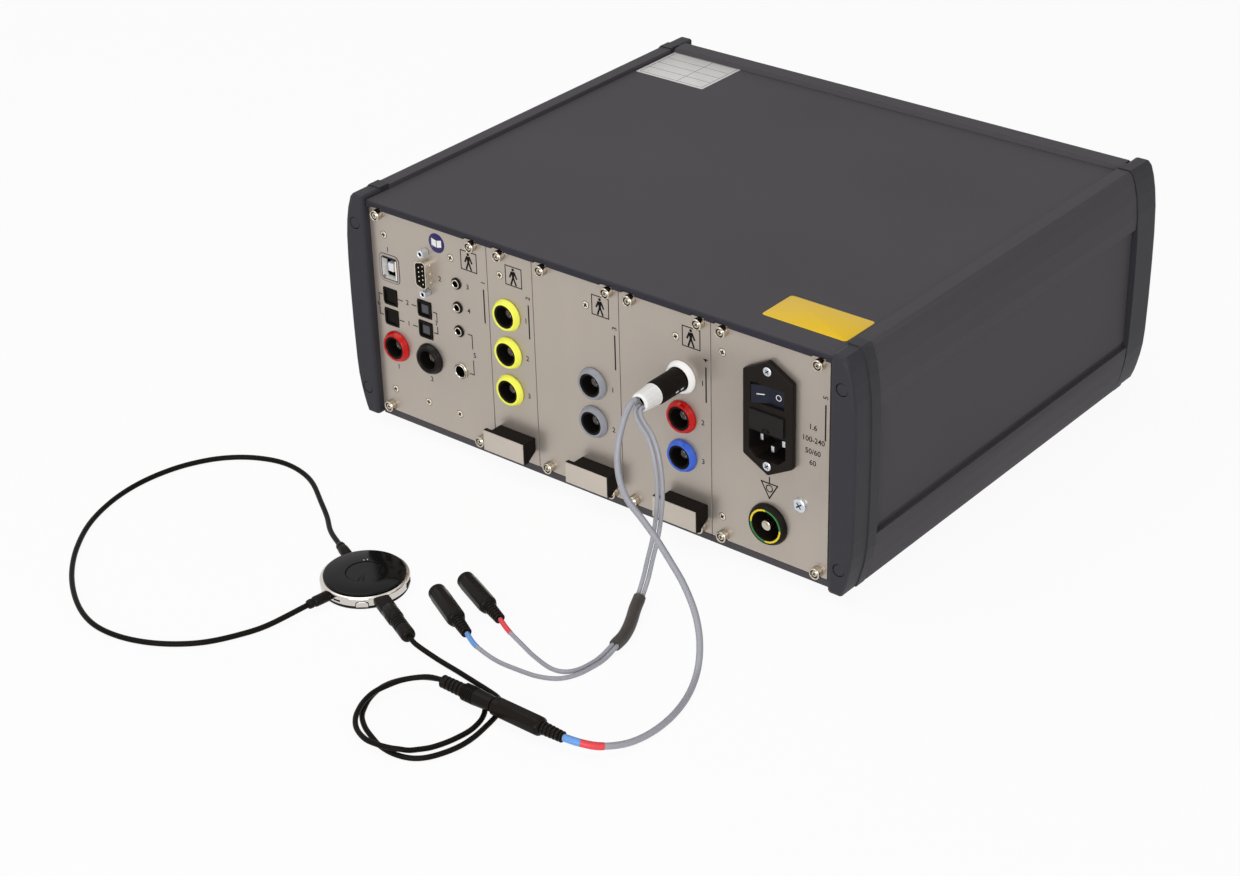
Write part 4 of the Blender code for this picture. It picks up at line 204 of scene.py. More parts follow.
NECK_ROUTE = (
    (0.0660, -0.1124, -0.0078), (0.0521, -0.1014, -0.0089), (0.0380, -0.0919, -0.0089),
    (0.0192, -0.0798, -0.0089), (0.0038, -0.0744, -0.0089), (-0.0116, -0.0737, -0.0089),
    (-0.0265, -0.0784, -0.0089), (-0.0390, -0.0868, -0.0089), (-0.0490, -0.0990, -0.0089),
    (-0.0567, -0.1166, -0.0089), (-0.0600, -0.1388, -0.0089), (-0.0575, -0.1618, -0.0089),
    (-0.0491, -0.1852, -0.0089), (-0.0350, -0.2067, -0.0089), (-0.0186, -0.2243, -0.0089),
    (-0.0008, -0.2381, -0.0089), (0.0169, -0.2477, -0.0089), (0.0330, -0.2521, -0.0089),
    (0.0493, -0.2515, -0.0089), (0.0647, -0.2468, -0.0089), (0.0785, -0.2387, -0.0089),
    (0.0898, -0.2279, -0.0089), (0.0985, -0.2133, -0.0089), (0.1046, -0.1980, -0.0086),
)
CURVE_POINTS = 24
CABLE_RADIUS, LEAD_RADIUS, BLACK_RADIUS, NECK_RADIUS = 0.00175, 0.0012, 0.0014, 0.0015
LEAD_SPACING, LEAD_SETTLE = 0.0027, 0.012
SLEEVE_RADIUS = 0.0034
TABLE = -0.0105
GAP = 0.0003

# In-line sockets: end of the boot, height of the axis, and the way that the mouth points
SOCKET_LYING = TABLE + 0.00525
SOCKET_RAISED = TABLE + 2 * BLACK_RADIUS + 0.0004 + 0.0046
INLINE = {
    "red": ((0.2004, -0.1247, SOCKET_LYING), 156.3),
    "blue": ((0.1953, -0.1447, SOCKET_LYING), 153.1),
    "remote": ((0.2953, -0.1865, SOCKET_RAISED), 180),
}
INLINE_LENGTH = 0.0435
JACK_LENGTH = 0.0340
REMOTE_PLUG_TURN = -25.1
REMOTE_PLUG_LENGTH = 0.0390
NECK_TURNS = (155.1, 261.2)
NECK_END = 0.0135
REMOTE_MIDDLE = -0.0059
REMOTE_RADIUS = 0.0240
RIM_BUTTON_TURN = -50

# The photograph's camera: right, down and forward of its picture, its place, and its lens
CAMERA_RIGHT = Vector((0.776289, 0.629906, -0.024349))
CAMERA_DOWN = Vector((0.293190, -0.394979, -0.870650))
CAMERA_PLACE = (0.80725, -1.01282, 0.74219)
SENSOR_WIDTH = 36.0
# Place, aim, and width and height of each lamp, in metres
LAMPS = {
    "key": ((-0.5, -0.5, 1.9), (0, 0, 0.05), (1.6, 1.6)),
    "fill": ((0.7, -1.7, 0.55), (0, -0.05, 0.05), (1.4, 0.8)),
    "rim": ((1.4, -0.3, 1.0), (0, 0, 0.05), (1.2, 0.8)),
}
FLOOR_RADIUS, FLOOR_DROP = 6.0, 0.0002
FLOOR_TONE, FLOOR_ROUGHNESS, FLOOR_GLOW = 0.92, 0.8, 0.93
# The cover's lip: the colour of its painted shade, as it faces out and down, and the outward slopes
# between which the paint turns to it
LIP_SHADE_RGB, LIP_SHADE_SLOPES = (47, 46, 54), (-0.15, -0.8)


def at(x, y, z):
    """A place in the panels' frame, in millimetres, as a place in the part's frame."""
    return (Vector((x, y, z)) - FRAME_CORNER) * MM


def place(point):
    """A place in the panels' frame, in metres, as a place in the part's frame."""
    return Vector(point) - FRAME_CORNER * MM


def srgb(red, green, blue):
    """A screen colour from 0 to 255 as a linear colour."""
    return tuple(((value / 255 + 0.055) / 1.055) ** 2.4 if value > 10 else value / 255 / 12.92
                 for value in (red, green, blue))


def facing(direction):
    """The turn that carries +Z to a direction and keeps +Y as far up as it goes."""
    return Vector(direction).to_track_quat("Z", "Y").to_matrix().to_4x4()


def sheet_at(x, z, out=0.0):
    """The sheet of a piece on the panels: right, up and outwards in millimetres."""
    return Matrix.Translation(at(x, -out, z)) @ facing(OUT) @ Matrix.Scale(MM, 4)


def axis_at(point, direction):
    """A sheet whose +Z points along a direction from a place in the part's frame."""
    return Matrix.Translation(point) @ facing(direction) @ Matrix.Scale(MM, 4)


def heading(degrees):
    """A level direction from its turn about +Z."""
    angle = math.radians(degrees)
    return Vector((math.cos(angle), math.sin(angle), 0))


def colour(name, description, rgb):
    """A colour property with a screen colour as its default."""
    return FloatVectorProperty(name=name, description=description, subtype="COLOR", size=3,
                               min=0.0, max=1.0, default=srgb(*rgb))


def length(name, description, default):
    """A length property in millimetres."""
    return FloatProperty(name=name, description=description, default=default, min=0.0,
                         subtype="NONE", unit="NONE")


class AUDIOMETER_PG_finishes(PropertyGroup):
    """Colours of the audiometer's finishes."""

    case_paint: colour("Case paint", "Fine textured paint of the cover and the rails", (76, 73, 77))
    cheek: colour("Cheeks", "Moulded end cheeks of the case", (55, 54, 59))
    panel: colour("Panels", "Satin face of the plug-in modules", (177, 167, 157))
    print: colour("Print", "Printed marks on the panels", (26, 24, 26))
    nickel: colour("Nickel", "Captive screws and jacks", (196, 187, 172))
    zinc: colour("Zinc", "Pan head screws and posts", (214, 220, 226))
    black: colour("Black moulding", "Inlet, handles and in-line sockets", (29, 25, 22))
    red: colour("Red", "Red sockets", (194, 14, 8))
    yellow: colour("Yellow", "Yellow sockets", (250, 252, 92))
    grey: colour("Grey", "Grey sockets", (146, 148, 155))
    white: colour("White", "White socket and the plug's collet", (246, 245, 243))
    blue: colour("Blue", "Blue socket", (62, 104, 214))
    cable: colour("Grey cord", "Sheath of the grey cords", (158, 158, 166))
    band_red: colour("Red band", "Red marking sleeve on a cord", (228, 62, 72))
    band_blue: colour("Blue band", "Blue marking sleeve on a cord", (98, 152, 220))
    cord: colour("Black cord", "Sheath of the black cords", (21, 18, 15))
    navy: colour("Navy", "Round sign on the first module", (40, 34, 92))
    label_yellow: colour("Yellow label", "Label at the near edge of the cover", (255, 208, 28))
    label_white: colour("White label", "Label at the far edge of the cover", (232, 231, 228))
    earth_green: colour("Earth green", "Green quarters of the earth ring", (44, 128, 62))
    earth_yellow: colour("Earth yellow", "Yellow quarters of the earth ring", (232, 208, 40))


class AUDIOMETER_PG_sizes(PropertyGroup):
    """Sizes of the fine pieces, in millimetres."""

    ring_out: length("Ring height", "How far a coloured ring stands out of the panel", 3.5)
    ring_base: length("Ring base", "Radius of a coloured ring at the panel", 9.5)
    ring_face: length("Ring face", "Radius of a coloured ring at its face", 8.15)
    bore: length("Socket bore", "Radius of a round socket's opening", 5.7)
    collar: length("Collar screw", "Radius of a captive screw's collar", 3.25)
    collar_out: length("Collar height", "How far a captive screw stands out", 3.9)
    flush_screw: length("Flush screw", "Radius of a small countersunk screw", 2.3)
    pan_screw: length("Pan screw", "Radius of the chassis screw's head", 4.1)
    line: length("Line", "Width of a printed line", 0.6)
    digits: length("Digits", "Height of a printed number", 3.0)
    print_out: length("Print height", "Thickness of the printed marks", 0.03)
    symbol: length("Symbol", "Side of a patient symbol's frame", 12.1)
    label: length("Label", "Thickness of a label", 0.1)


class AUDIOMETER_PG_stage(PropertyGroup):
    """Camera, lamps and floor."""

    lens: FloatProperty(name="Lens", description="Focal length of the camera", default=75.38,
                        min=1.0, unit="CAMERA")
    key: FloatProperty(name="Key", description="Power of the large lamp above", default=14.0, min=0.0,
                       unit="POWER")
    fill: FloatProperty(name="Fill", description="Power of the low lamp in front", default=18.0,
                        min=0.0, unit="POWER")
    rim: FloatProperty(name="Rim", description="Power of the lamp behind the part", default=3.0,
                       min=0.0, unit="POWER")
    sky: FloatProperty(name="Sky", description="Strength of the even light all round", default=0.24,
                       min=0.0)


def finishes():
    return bpy.context.scene.audiometer_finishes


def sizes():
    return bpy.context.scene.audiometer_sizes


def shader(name, rgb, roughness, metallic=0.0, grain=0.0, grain_scale=1200.0, mottle=0.06,
           mottle_scale=40.0, stretch=(1, 1, 1), coat=0.0, spread=0.08, specular=0.5):
    """A Principled material whose colour, roughness and relief come from two noises.

    The fine noise is the grain of the surface and lifts it by so many millimetres. The
    coarse one makes the colour and the roughness vary a little from place to place.
    """
    name += "_finish"
    material = bpy.data.materials.get(name)
    if material:
        return material
    material = bpy.data.materials.new(name)
    material.use_nodes = True
    nodes, links = material.node_tree.nodes, material.node_tree.links
    principled = nodes["Principled BSDF"]
    principled.inputs["Metallic"].default_value = metallic
    principled.inputs["Specular IOR Level"].default_value = specular
    principled.inputs["Coat Weight"].default_value = coat
    principled.inputs["Coat Roughness"].default_value = 0.08
    place_node = nodes.new("ShaderNodeTexCoord")
    mapping = nodes.new("ShaderNodeMapping")
    mapping.inputs["Scale"].default_value = stretch
    links.new(place_node.outputs["Object"], mapping.inputs["Vector"])
    coarse = nodes.new("ShaderNodeTexNoise")
    coarse.inputs["Scale"].default_value = mottle_scale
    coarse.inputs["Detail"].default_value = 4.0
    links.new(mapping.outputs["Vector"], coarse.inputs["Vector"])
    tint = nodes.new("ShaderNodeMix")
    tint.data_type = "RGBA"
    tint.inputs["A"].default_value = (*(max(0.0, c * (1 - mottle)) for c in rgb), 1)
    tint.inputs["B"].default_value = (*(min(1.0, c * (1 + mottle)) for c in rgb), 1)
    links.new(coarse.outputs["Fac"], tint.inputs["Factor"])
    links.new(tint.outputs["Result"], principled.inputs["Base Color"])
    sheen = nodes.new("ShaderNodeMapRange")
    sheen.inputs["To Min"].default_value = max(0.02, roughness - spread)
    sheen.inputs["To Max"].default_value = min(1.0, roughness + spread)
    links.new(coarse.outputs["Fac"], sheen.inputs["Value"])
    links.new(sheen.outputs["Result"], principled.inputs["Roughness"])
    if grain:
        fine = nodes.new("ShaderNodeTexNoise")
        fine.inputs["Scale"].default_value = grain_scale
        fine.inputs["Detail"].default_value = 3.0
        links.new(mapping.outputs["Vector"], fine.inputs["Vector"])
        bump = nodes.new("ShaderNodeBump")
        bump.inputs["Strength"].default_value = 1.0
        bump.inputs["Distance"].default_value = grain * MM
        links.new(fine.outputs["Fac"], bump.inputs["Height"])
        links.new(bump.outputs["Normal"], principled.inputs["Normal"])
    return material


def case_paint(name="case_paint"):
    return shader(name, finishes().case_paint, 0.60, grain=0.035, grain_scale=2600, mottle=0.05,
                  mottle_scale=9, specular=0.12)


def cover_paint():
    """The case paint, with painted shade on the lip that looks out over the panels."""
    material = case_paint("cover_paint")
    nodes, links = material.node_tree.nodes, material.node_tree.links
    colour_input = nodes["Principled BSDF"].inputs["Base Color"]
    # Painted shade: faces that look outwards, as the lip's do, turn towards a darker colour.
    parts = nodes.new("ShaderNodeSeparateXYZ")
    links.new(nodes["Texture Coordinate"].outputs["Normal"], parts.inputs["Vector"])
    outward = nodes.new("ShaderNodeMapRange")
    outward.inputs["From Min"].default_value, outward.inputs["From Max"].default_value = LIP_SHADE_SLOPES
    links.new(parts.outputs["Y"], outward.inputs["Value"])
    lip = nodes.new("ShaderNodeMix")
    lip.data_type = "RGBA"
    links.new(outward.outputs["Result"], lip.inputs["Factor"])
    links.new(colour_input.links[0].from_socket, lip.inputs["A"])
    lip.inputs["B"].default_value = (*srgb(*LIP_SHADE_RGB), 1)
    links.new(lip.outputs["Result"], colour_input)
    return material


def cheek_plastic():
    return shader("cheek_plastic", finishes().cheek, 0.50, grain=0.03, grain_scale=1800, mottle=0.05,
                  mottle_scale=14, specular=0.12)


def panel_metal():
    return shader("panel_metal", finishes().panel, 0.34, metallic=0.6, grain=0.008, grain_scale=900,
                  mottle=0.035, mottle_scale=60, stretch=(1, 1, 0.12), spread=0.04)


def plate_metal():
    return shader("plate_metal", srgb(196, 186, 175), 0.40, metallic=0.25, grain=0.012,
                  grain_scale=900, mottle=0.035, mottle_scale=60, stretch=(0.12, 1, 1))


def black_moulding():
    return shader("black_moulding", finishes().black, 0.38, grain=0.02, grain_scale=1500,
                  mottle=0.12, specular=0.08)


def matt_black():
    return shader("matt_black", srgb(24, 21, 19), 0.5, grain=0.02, grain_scale=1800, mottle=0.12,
                  specular=0.06)


def deep_black():
    return shader("deep_black", srgb(9, 9, 9), 0.6, mottle=0.1, specular=0.05)


def nickel():
    return shader("nickel", finishes().nickel, 0.22, metallic=1.0, grain=0.004, grain_scale=2200,
                  mottle=0.05, spread=0.1)


def zinc():
    return shader("zinc", finishes().zinc, 0.30, metallic=0.8, grain=0.004, grain_scale=2200,
                  mottle=0.05, spread=0.1)


def brass():
    return shader("brass", srgb(196, 164, 104), 0.3, metallic=1.0, grain=0.004, mottle=0.06)


def print_ink():
    return shader("print_ink", finishes().print, 0.6, grain=0.006, grain_scale=3000, mottle=0.15,
                  mottle_scale=400, specular=0.05)


def white_ink():
    return shader("white_ink", srgb(232, 232, 230), 0.6, grain=0.006, grain_scale=3000, mottle=0.1)


def gloss_plastic(name, rgb, specular=0.25):
    return shader(f"{name}_plastic", rgb, 0.18, grain=0.006, grain_scale=700, mottle=0.05,
                  specular=specular)


def cable_sheath():
    return shader("cable_sheath", finishes().cable, 0.40, grain=0.02, grain_scale=900, mottle=0.04)


def cord_sheath():
    return shader("cord_sheath", finishes().cord, 0.36, grain=0.02, grain_scale=900, mottle=0.15,
                  specular=0.05)


def boot_rubber():
    return shader("boot_rubber", srgb(25, 21, 18), 0.30, grain=0.02, grain_scale=1300, mottle=0.15,
                  specular=0.08)


def chrome():
    return shader("chrome", srgb(206, 200, 194), 0.12, metallic=1.0, mottle=0.03, spread=0.05)


def append(work, part, matrix, material=0):
    """Add a part drawn in its own sheet to a mesh in the making."""
    bmesh.ops.transform(part, matrix=matrix, verts=part.verts)
    for face in part.faces:
        face.material_index = material
    mesh = bpy.data.meshes.new("part")
    part.to_mesh(mesh)
    part.free()
    work.from_mesh(mesh)
    bpy.data.meshes.remove(mesh)


def spin(work, profile, matrix, sides=ROUND, material=0, closed=False, sweep=(0, 360)):
    """Turn a profile of radii and heights round its sheet's +Z."""
    part = bmesh.new()
    whole = sweep[1] - sweep[0] == 360
    count = sides if whole else sides + 1
    rings = []
    for radius, height in profile:
        if radius == 0:
            rings.append([part.verts.new((0, 0, height))] * count)
            continue
        angles = [math.radians(sweep[0] + (sweep[1] - sweep[0]) * i / sides) for i in range(count)]
        rings.append([part.verts.new((radius * math.cos(a), radius * math.sin(a), height))
                      for a in angles])
    pairs = list(zip(rings, rings[1:]))
    if closed:
        pairs.append((rings[-1], rings[0]))
    for first, second in pairs:
        for i in range(sides):
            j = (i + 1) % count
            corners = list(dict.fromkeys((first[i], first[j], second[j], second[i])))
            if len(corners) > 2:
                part.faces.new(corners)
    if closed and not whole:
        for i in (0, sides):
            part.faces.new([ring[i] for ring in rings])
    append(work, part, matrix, material)


def skin(part, rings, sides):
    """Faces between each ring of points and the next."""
    for first, second in zip(rings, rings[1:]):
        for i in range(sides):
            j = (i + 1) % sides
            part.faces.new((first[i], first[j], second[j], second[i]))


def shape_round(work, profile, reach, matrix, sides=ROUND, start=0.0, cap=False):
    """A turned profile that isn't round: reach gives the radius at an angle.

    Each row of the profile has a radius, a height, and how much of the form it has.
    """
    part = bmesh.new()
    rings = []
    for radius, height, amount in profile:
        ring = []
        for i in range(sides):
            angle = 2 * math.pi * (i + start) / sides
            far = reach(radius, amount, angle)
            ring.append(part.verts.new((far * math.cos(angle), far * math.sin(angle), height)))
        rings.append(ring)
    skin(part, rings, sides)
    if cap:
        part.faces.new(rings[0])
    append(work, part, matrix)


def block(work, low, high, matrix, material=0, bevel=0.0):
    """A block between two corners of a sheet, with rounded edges."""
    part = bmesh.new()
    bmesh.ops.create_cube(part, size=1)
    low, high = Vector(low), Vector(high)
    bmesh.ops.scale(part, vec=high - low, verts=part.verts)
    bmesh.ops.translate(part, vec=(low + high) / 2, verts=part.verts)
    if bevel:
        bmesh.ops.bevel(part, geom=part.edges[:], offset=bevel, segments=2, profile=0.5, affect="EDGES")
    append(work, part, matrix, material)


def plate(work, outline, low, high, matrix, material=0, bevel=0.0):
    """A flat outline of a sheet, thickened between two heights, with its front edge rounded."""
    part = bmesh.new()
    base = part.faces.new([part.verts.new((u, v, low)) for u, v in outline])
    raised = bmesh.ops.extrude_face_region(part, geom=[base])["geom"]
    tops = [item for item in raised if isinstance(item, bmesh.types.BMVert)]
    bmesh.ops.translate(part, vec=(0, 0, high - low), verts=tops)
    bmesh.ops.recalc_face_normals(part, faces=part.faces)
    if bevel:
        edges = [edge for edge in part.edges if all(vert.co.z > high - WELD for vert in edge.verts)]
        bmesh.ops.bevel(part, geom=edges, offset=bevel, segments=2, profile=0.5, affect="EDGES")
    append(work, part, matrix, material)


def pierced(work, outlines, low, high, matrix, material=0):
    """A flat outline with holes, thickened between two heights of a sheet."""
    curve = bpy.data.curves.new("outline", "CURVE")
    curve.dimensions = "2D"
    curve.fill_mode = "BOTH"
    curve.extrude = (high - low) / 2
    for outline in outlines:
        spline = curve.splines.new("POLY")
        spline.points.add(len(outline) - 1)
        for point, (u, v) in zip(spline.points, outline):
            point.co = (u, v, 0, 1)
        spline.use_cyclic_u = True
    add_curve(work, curve, matrix @ Matrix.Translation((0, 0, (low + high) / 2)), material)


def add_curve(work, curve, matrix, material):
    """Add a filled curve or a text to a mesh in the making."""
    guide = bpy.data.objects.new("guide", curve)
    bpy.context.scene.collection.objects.link(guide)
    bpy.context.view_layer.update()
    graph = bpy.context.evaluated_depsgraph_get()
    mesh = bpy.data.meshes.new_from_object(guide.evaluated_get(graph))
    bpy.data.objects.remove(guide)
    part = bmesh.new()
    part.from_mesh(mesh)
    bpy.data.meshes.remove(mesh)
    bmesh.ops.remove_doubles(part, verts=part.verts, dist=WELD)
    append(work, part, matrix, material)


def number(work, text, u, v, height, out, matrix, turn=0.0):
    """A printed number, centred on a place of a sheet."""
    curve = bpy.data.curves.new("digits", "FONT")
    curve.body = text
    curve.size = height / 0.7
    curve.align_x = "CENTER"
    curve.align_y = "CENTER"
    curve.extrude = out / 2
    curve.resolution_u = 3
    curve.offset = height * 0.02
    spot = Matrix.Translation((u, v, out / 2)) @ Matrix.Rotation(math.radians(turn), 4, "Z")
    add_curve(work, curve, matrix @ spot, 0)


def line(work, points, width, out, matrix, material=0):
    """A printed line with square ends through points of a sheet."""
    for start, end in zip(points, points[1:]):
        start, end = Vector(start), Vector(end)
        along = (end - start).normalized() * width / 2
        side = Vector((-along.y, along.x))
        outline = [start - along - side, end + along - side, end + along + side,
                   start - along + side]
        plate(work, [tuple(point) for point in outline], 0, out, matrix, material)


def circle(radius, sides=FINE, centre=(0, 0)):
    """Points of a circle."""
    angles = [2 * math.pi * i / sides for i in range(sides)]
    return [(centre[0] + radius * math.cos(a), centre[1] + radius * math.sin(a)) for a in angles]


def cross(reach, half):
    """Outline of a cross recess with arms of one width."""
    return [(reach, half), (half, half), (half, reach), (-half, reach), (-half, half), (-reach, half),
            (-reach, -half), (-half, -half), (-half, -reach), (half, -reach), (half, -half),
            (reach, -half)]


def turn_outline(outline, degrees):
    """An outline turned about its sheet's middle."""
    angle = math.radians(degrees)
    return [(u * math.cos(angle) - v * math.sin(angle), u * math.sin(angle) + v * math.cos(angle))
            for u, v in outline]


def rectangle(width, height, corner=0.0, steps=4):
    """Outline of a rectangle with round corners about its middle."""
    if not corner:
        return [(-width / 2, -height / 2), (width / 2, -height / 2), (width / 2, height / 2),
                (-width / 2, height / 2)]
    points = []
    for index, (right, up) in enumerate(((1, 1), (-1, 1), (-1, -1), (1, -1))):
        for step in range(steps + 1):
            angle = (index + step / steps) * math.pi / 2
            points.append((right * (width / 2 - corner) + corner * math.cos(angle),
                           up * (height / 2 - corner) + corner * math.sin(angle)))
    return points


def finish_piece(name, work, materials, body="case", slot=None, replaces=()):
    """Turn a mesh in the making into a piece that rides on a body."""
    bmesh.ops.recalc_face_normals(work, faces=work.faces)
    mesh = bpy.data.meshes.new(name)
    work.to_mesh(mesh)
    work.free()
    for material in materials:
        mesh.materials.append(material)
    mesh.shade_smooth()
    mesh.set_sharp_from_angle(angle=SMOOTH_ANGLE)
    piece = bpy.data.objects.new(name, mesh)
    bpy.context.scene.collection.objects.link(piece)
    return mount(piece, body, slot, replaces)


def stand_in(node, work, materials, slot, body="case"):
    """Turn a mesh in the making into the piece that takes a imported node's place."""
    return finish_piece(f"{node}_dressed", work, materials, body, slot, (node,))


def mount(piece, body="case", slot=None, replaces=()):
    """Fix a piece to a body and hide the nodes that it stands for; the slot is not used."""
    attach(piece, body)
    if replaces:
        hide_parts(*replaces)
    return piece


def dress(node, material, bevel=0.0):
    """Give a CAD node its finish and soften its edges."""
    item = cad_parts[node]
    item.data.materials.clear()
    item.data.materials.append(material)
    weld = item.modifiers.new("weld", "WELD")
    weld.merge_threshold = NODE_WELD * MM
    if bevel:
        rounding = item.modifiers.new("round", "BEVEL")
        rounding.width = bevel * MM
        rounding.segments = 2
        rounding.limit_method = "ANGLE"
        rounding.angle_limit = SMOOTH_ANGLE


def catmull(points, parameter):
    """A point on the smooth curve through the points, at a parameter from 0 to count - 1."""
    index = min(int(parameter), len(points) - 2)
    share = parameter - index
    before = points[index - 1] if index > 0 else 2 * points[0] - points[1]
    after = points[index + 2] if index + 2 < len(points) else 2 * points[-1] - points[-2]
    start, end = points[index], points[index + 1]
    return 0.5 * (2 * start + (end - before) * share
                  + (2 * before - 5 * start + 4 * end - after) * share ** 2
                  + (3 * start - before - 3 * end + after) * share ** 3)


def running_lengths(points):
    """Running length at each point."""
    total = [0.0]
    for start, end in zip(points, points[1:]):
        total.append(total[-1] + (end - start).length)
    return total


def dense(points):
    """The smooth curve through the points, read closely."""
    return [catmull(points, i / CURVE_POINTS) for i in range(CURVE_POINTS * (len(points) - 1) + 1)]


def portion(points, start, end, step):
    """Evenly spaced points of a closely read curve between two running lengths."""
    running = running_lengths(points)
    count = max(2, round((end - start) / step))
    result = []
    index = 0
    for i in range(count + 1):
        wanted = start + (end - start) * i / count
        while index < len(points) - 2 and running[index + 1] < wanted:
            index += 1
        share = (wanted - running[index]) / (running[index + 1] - running[index])
        result.append(points[index].lerp(points[index + 1], share))
    return result


def cord_curve(name, path, radius, sheath):
    """A cord as a round curve through a path of the part's frame."""
    curve = bpy.data.curves.new(name, "CURVE")
    curve.dimensions = "3D"
    curve.bevel_depth = radius
    curve.bevel_resolution = 4
    curve.use_fill_caps = True
    spline = curve.splines.new("POLY")
    spline.points.add(len(path) - 1)
    for node, point in zip(spline.points, path):
        node.co = (*point, 1)
    spline.use_smooth = True
    curve.materials.append(sheath)
    piece = bpy.data.objects.new(name, curve)
    bpy.context.scene.collection.objects.link(piece)
    return piece


def sweep(work, path, radii, sides=24):
    """A round tube along a path of the part's frame, with a radius in metres at each point."""
    tangents = [(path[min(i + 1, len(path) - 1)] - path[max(i - 1, 0)]).normalized()
                for i in range(len(path))]
    side = tangents[0].orthogonal().normalized()
    part = bmesh.new()
    rings = []
    for point, tangent, radius in zip(path, tangents, radii):
        side = (side - tangent * side.dot(tangent)).normalized()
        other = tangent.cross(side)
        rings.append([part.verts.new(point + (side * math.cos(a) + other * math.sin(a)) * radius)
                      for a in (2 * math.pi * i / sides for i in range(sides))])
    skin(part, rings, sides)
    part.faces.new(rings[0])
    part.faces.new(rings[-1])
    append(work, part, Matrix.Identity(4))


def screw_head(work, matrix, radius, height, reach, half, turn):
    """A round screw head with a cross recess whose dark floor is painted shade."""
    rim = [(radius * 0.86, height), (radius, height - radius * 0.10), (radius, 0)]
    pierced(work, [circle(radius * 0.86), turn_outline(cross(reach, half), turn)],
            height - radius * 0.3, height, matrix)
    spin(work, rim, matrix, FINE)
    # Painted shade: a dark disc at the floor of the cross recess.
    floor = height - radius * 0.28
    spin(work, [(0, floor), (radius * 0.8, floor)], matrix, FINE, 1)


class AudiometerOperator:
    """What the operators share: each builds one group of pieces."""

    bl_options = {"REGISTER", "UNDO"}

    def execute(self, context):
        self.build(context)
        return {"FINISHED"}


class AUDIOMETER_OT_stage(AudiometerOperator, Operator):
    """Camera at the photograph's place, soft lamps, and a pale floor with a pale world"""

    bl_idname = "audiometer.stage"
    bl_label = "Stage"

    def build(self, context):
        self.add_camera(context)
        self.add_lamps(context)
        self.add_world(context)
        self.add_floor(context)
        context.scene.view_settings.view_transform = "Standard"

    def add_camera(self, context):
        data = bpy.data.cameras.new("camera")
        data.lens = context.scene.audiometer_stage.lens
        data.sensor_width = SENSOR_WIDTH
        data.clip_start = 0.05
        data.clip_end = 50
        camera = bpy.data.objects.new("camera", data)
        context.scene.collection.objects.link(camera)
        forward = CAMERA_RIGHT.cross(CAMERA_DOWN)
        turn = Matrix((CAMERA_RIGHT, -CAMERA_DOWN, -forward)).transposed().to_4x4()
        camera.matrix_world = Matrix.Translation(CAMERA_PLACE) @ turn
        context.scene.camera = camera

    def add_lamp(self, context, name, spot, target, power, size):
        data = bpy.data.lights.new(name, "AREA")
        data.energy = power
        data.shape = "RECTANGLE"
        data.size, data.size_y = size
        lamp = bpy.data.objects.new(name, data)
        context.scene.collection.objects.link(lamp)
        direction = Vector(spot) - Vector(target)
        lamp.matrix_world = Matrix.Translation(spot) @ facing(direction)

    def add_lamps(self, context):
        stage = context.scene.audiometer_stage
        for name, (spot, target, size) in LAMPS.items():
            self.add_lamp(context, name, spot, target, getattr(stage, name), size)

    def seen_directly(self, nodes, links):
        """One for a ray from the camera, a mirror or glass, and nought for light on the object."""
        rays = nodes.new("ShaderNodeLightPath")
        seen = rays.outputs["Is Camera Ray"]
        for kind in ("Is Glossy Ray", "Is Transmission Ray"):
            either = nodes.new("ShaderNodeMath")
            either.operation = "MAXIMUM"
            links.new(seen, either.inputs[0])
            links.new(rays.outputs[kind], either.inputs[1])
            seen = either.outputs["Value"]
        return seen

    def add_world(self, context):
        world = bpy.data.worlds.new("studio")
        context.scene.world = world
        world.use_nodes = True
        nodes, links = world.node_tree.nodes, world.node_tree.links
        background = nodes["Background"]
        background.inputs["Color"].default_value = (1, 1, 1, 1)
        seen = self.seen_directly(nodes, links)
        strength = nodes.new("ShaderNodeMapRange")
        strength.inputs["To Min"].default_value = context.scene.audiometer_stage.sky
        strength.inputs["To Max"].default_value = 1.0
        links.new(seen, strength.inputs["Value"])
        links.new(strength.outputs["Result"], background.inputs["Strength"])

    def add_floor(self, context):
        bpy.ops.mesh.primitive_circle_add(vertices=WIDE, radius=FLOOR_RADIUS, fill_type="NGON",
                                          location=(0, 0, 0))
        floor = context.active_object
        floor.name = "floor"
        floor.location.z = -FLOOR_DROP
        material = bpy.data.materials.new("floor")
        material.use_nodes = True
        nodes, links = material.node_tree.nodes, material.node_tree.links
        principled = nodes["Principled BSDF"]
        principled.inputs["Base Color"].default_value = (FLOOR_TONE, FLOOR_TONE, FLOOR_TONE, 1)
        principled.inputs["Roughness"].default_value = FLOOR_ROUGHNESS
        glow = nodes.new("ShaderNodeEmission")
        share = nodes.new("ShaderNodeMath")
        share.operation = "MULTIPLY"
        share.inputs[1].default_value = FLOOR_GLOW
        links.new(self.seen_directly(nodes, links), share.inputs[0])
        mixer = nodes.new("ShaderNodeMixShader")
        links.new(share.outputs["Value"], mixer.inputs["Fac"])
        links.new(principled.outputs["BSDF"], mixer.inputs[1])
        links.new(glow.outputs["Emission"], mixer.inputs[2])
        links.new(mixer.outputs["Shader"], nodes["Material Output"].inputs["Surface"])
        floor.data.materials.append(material)


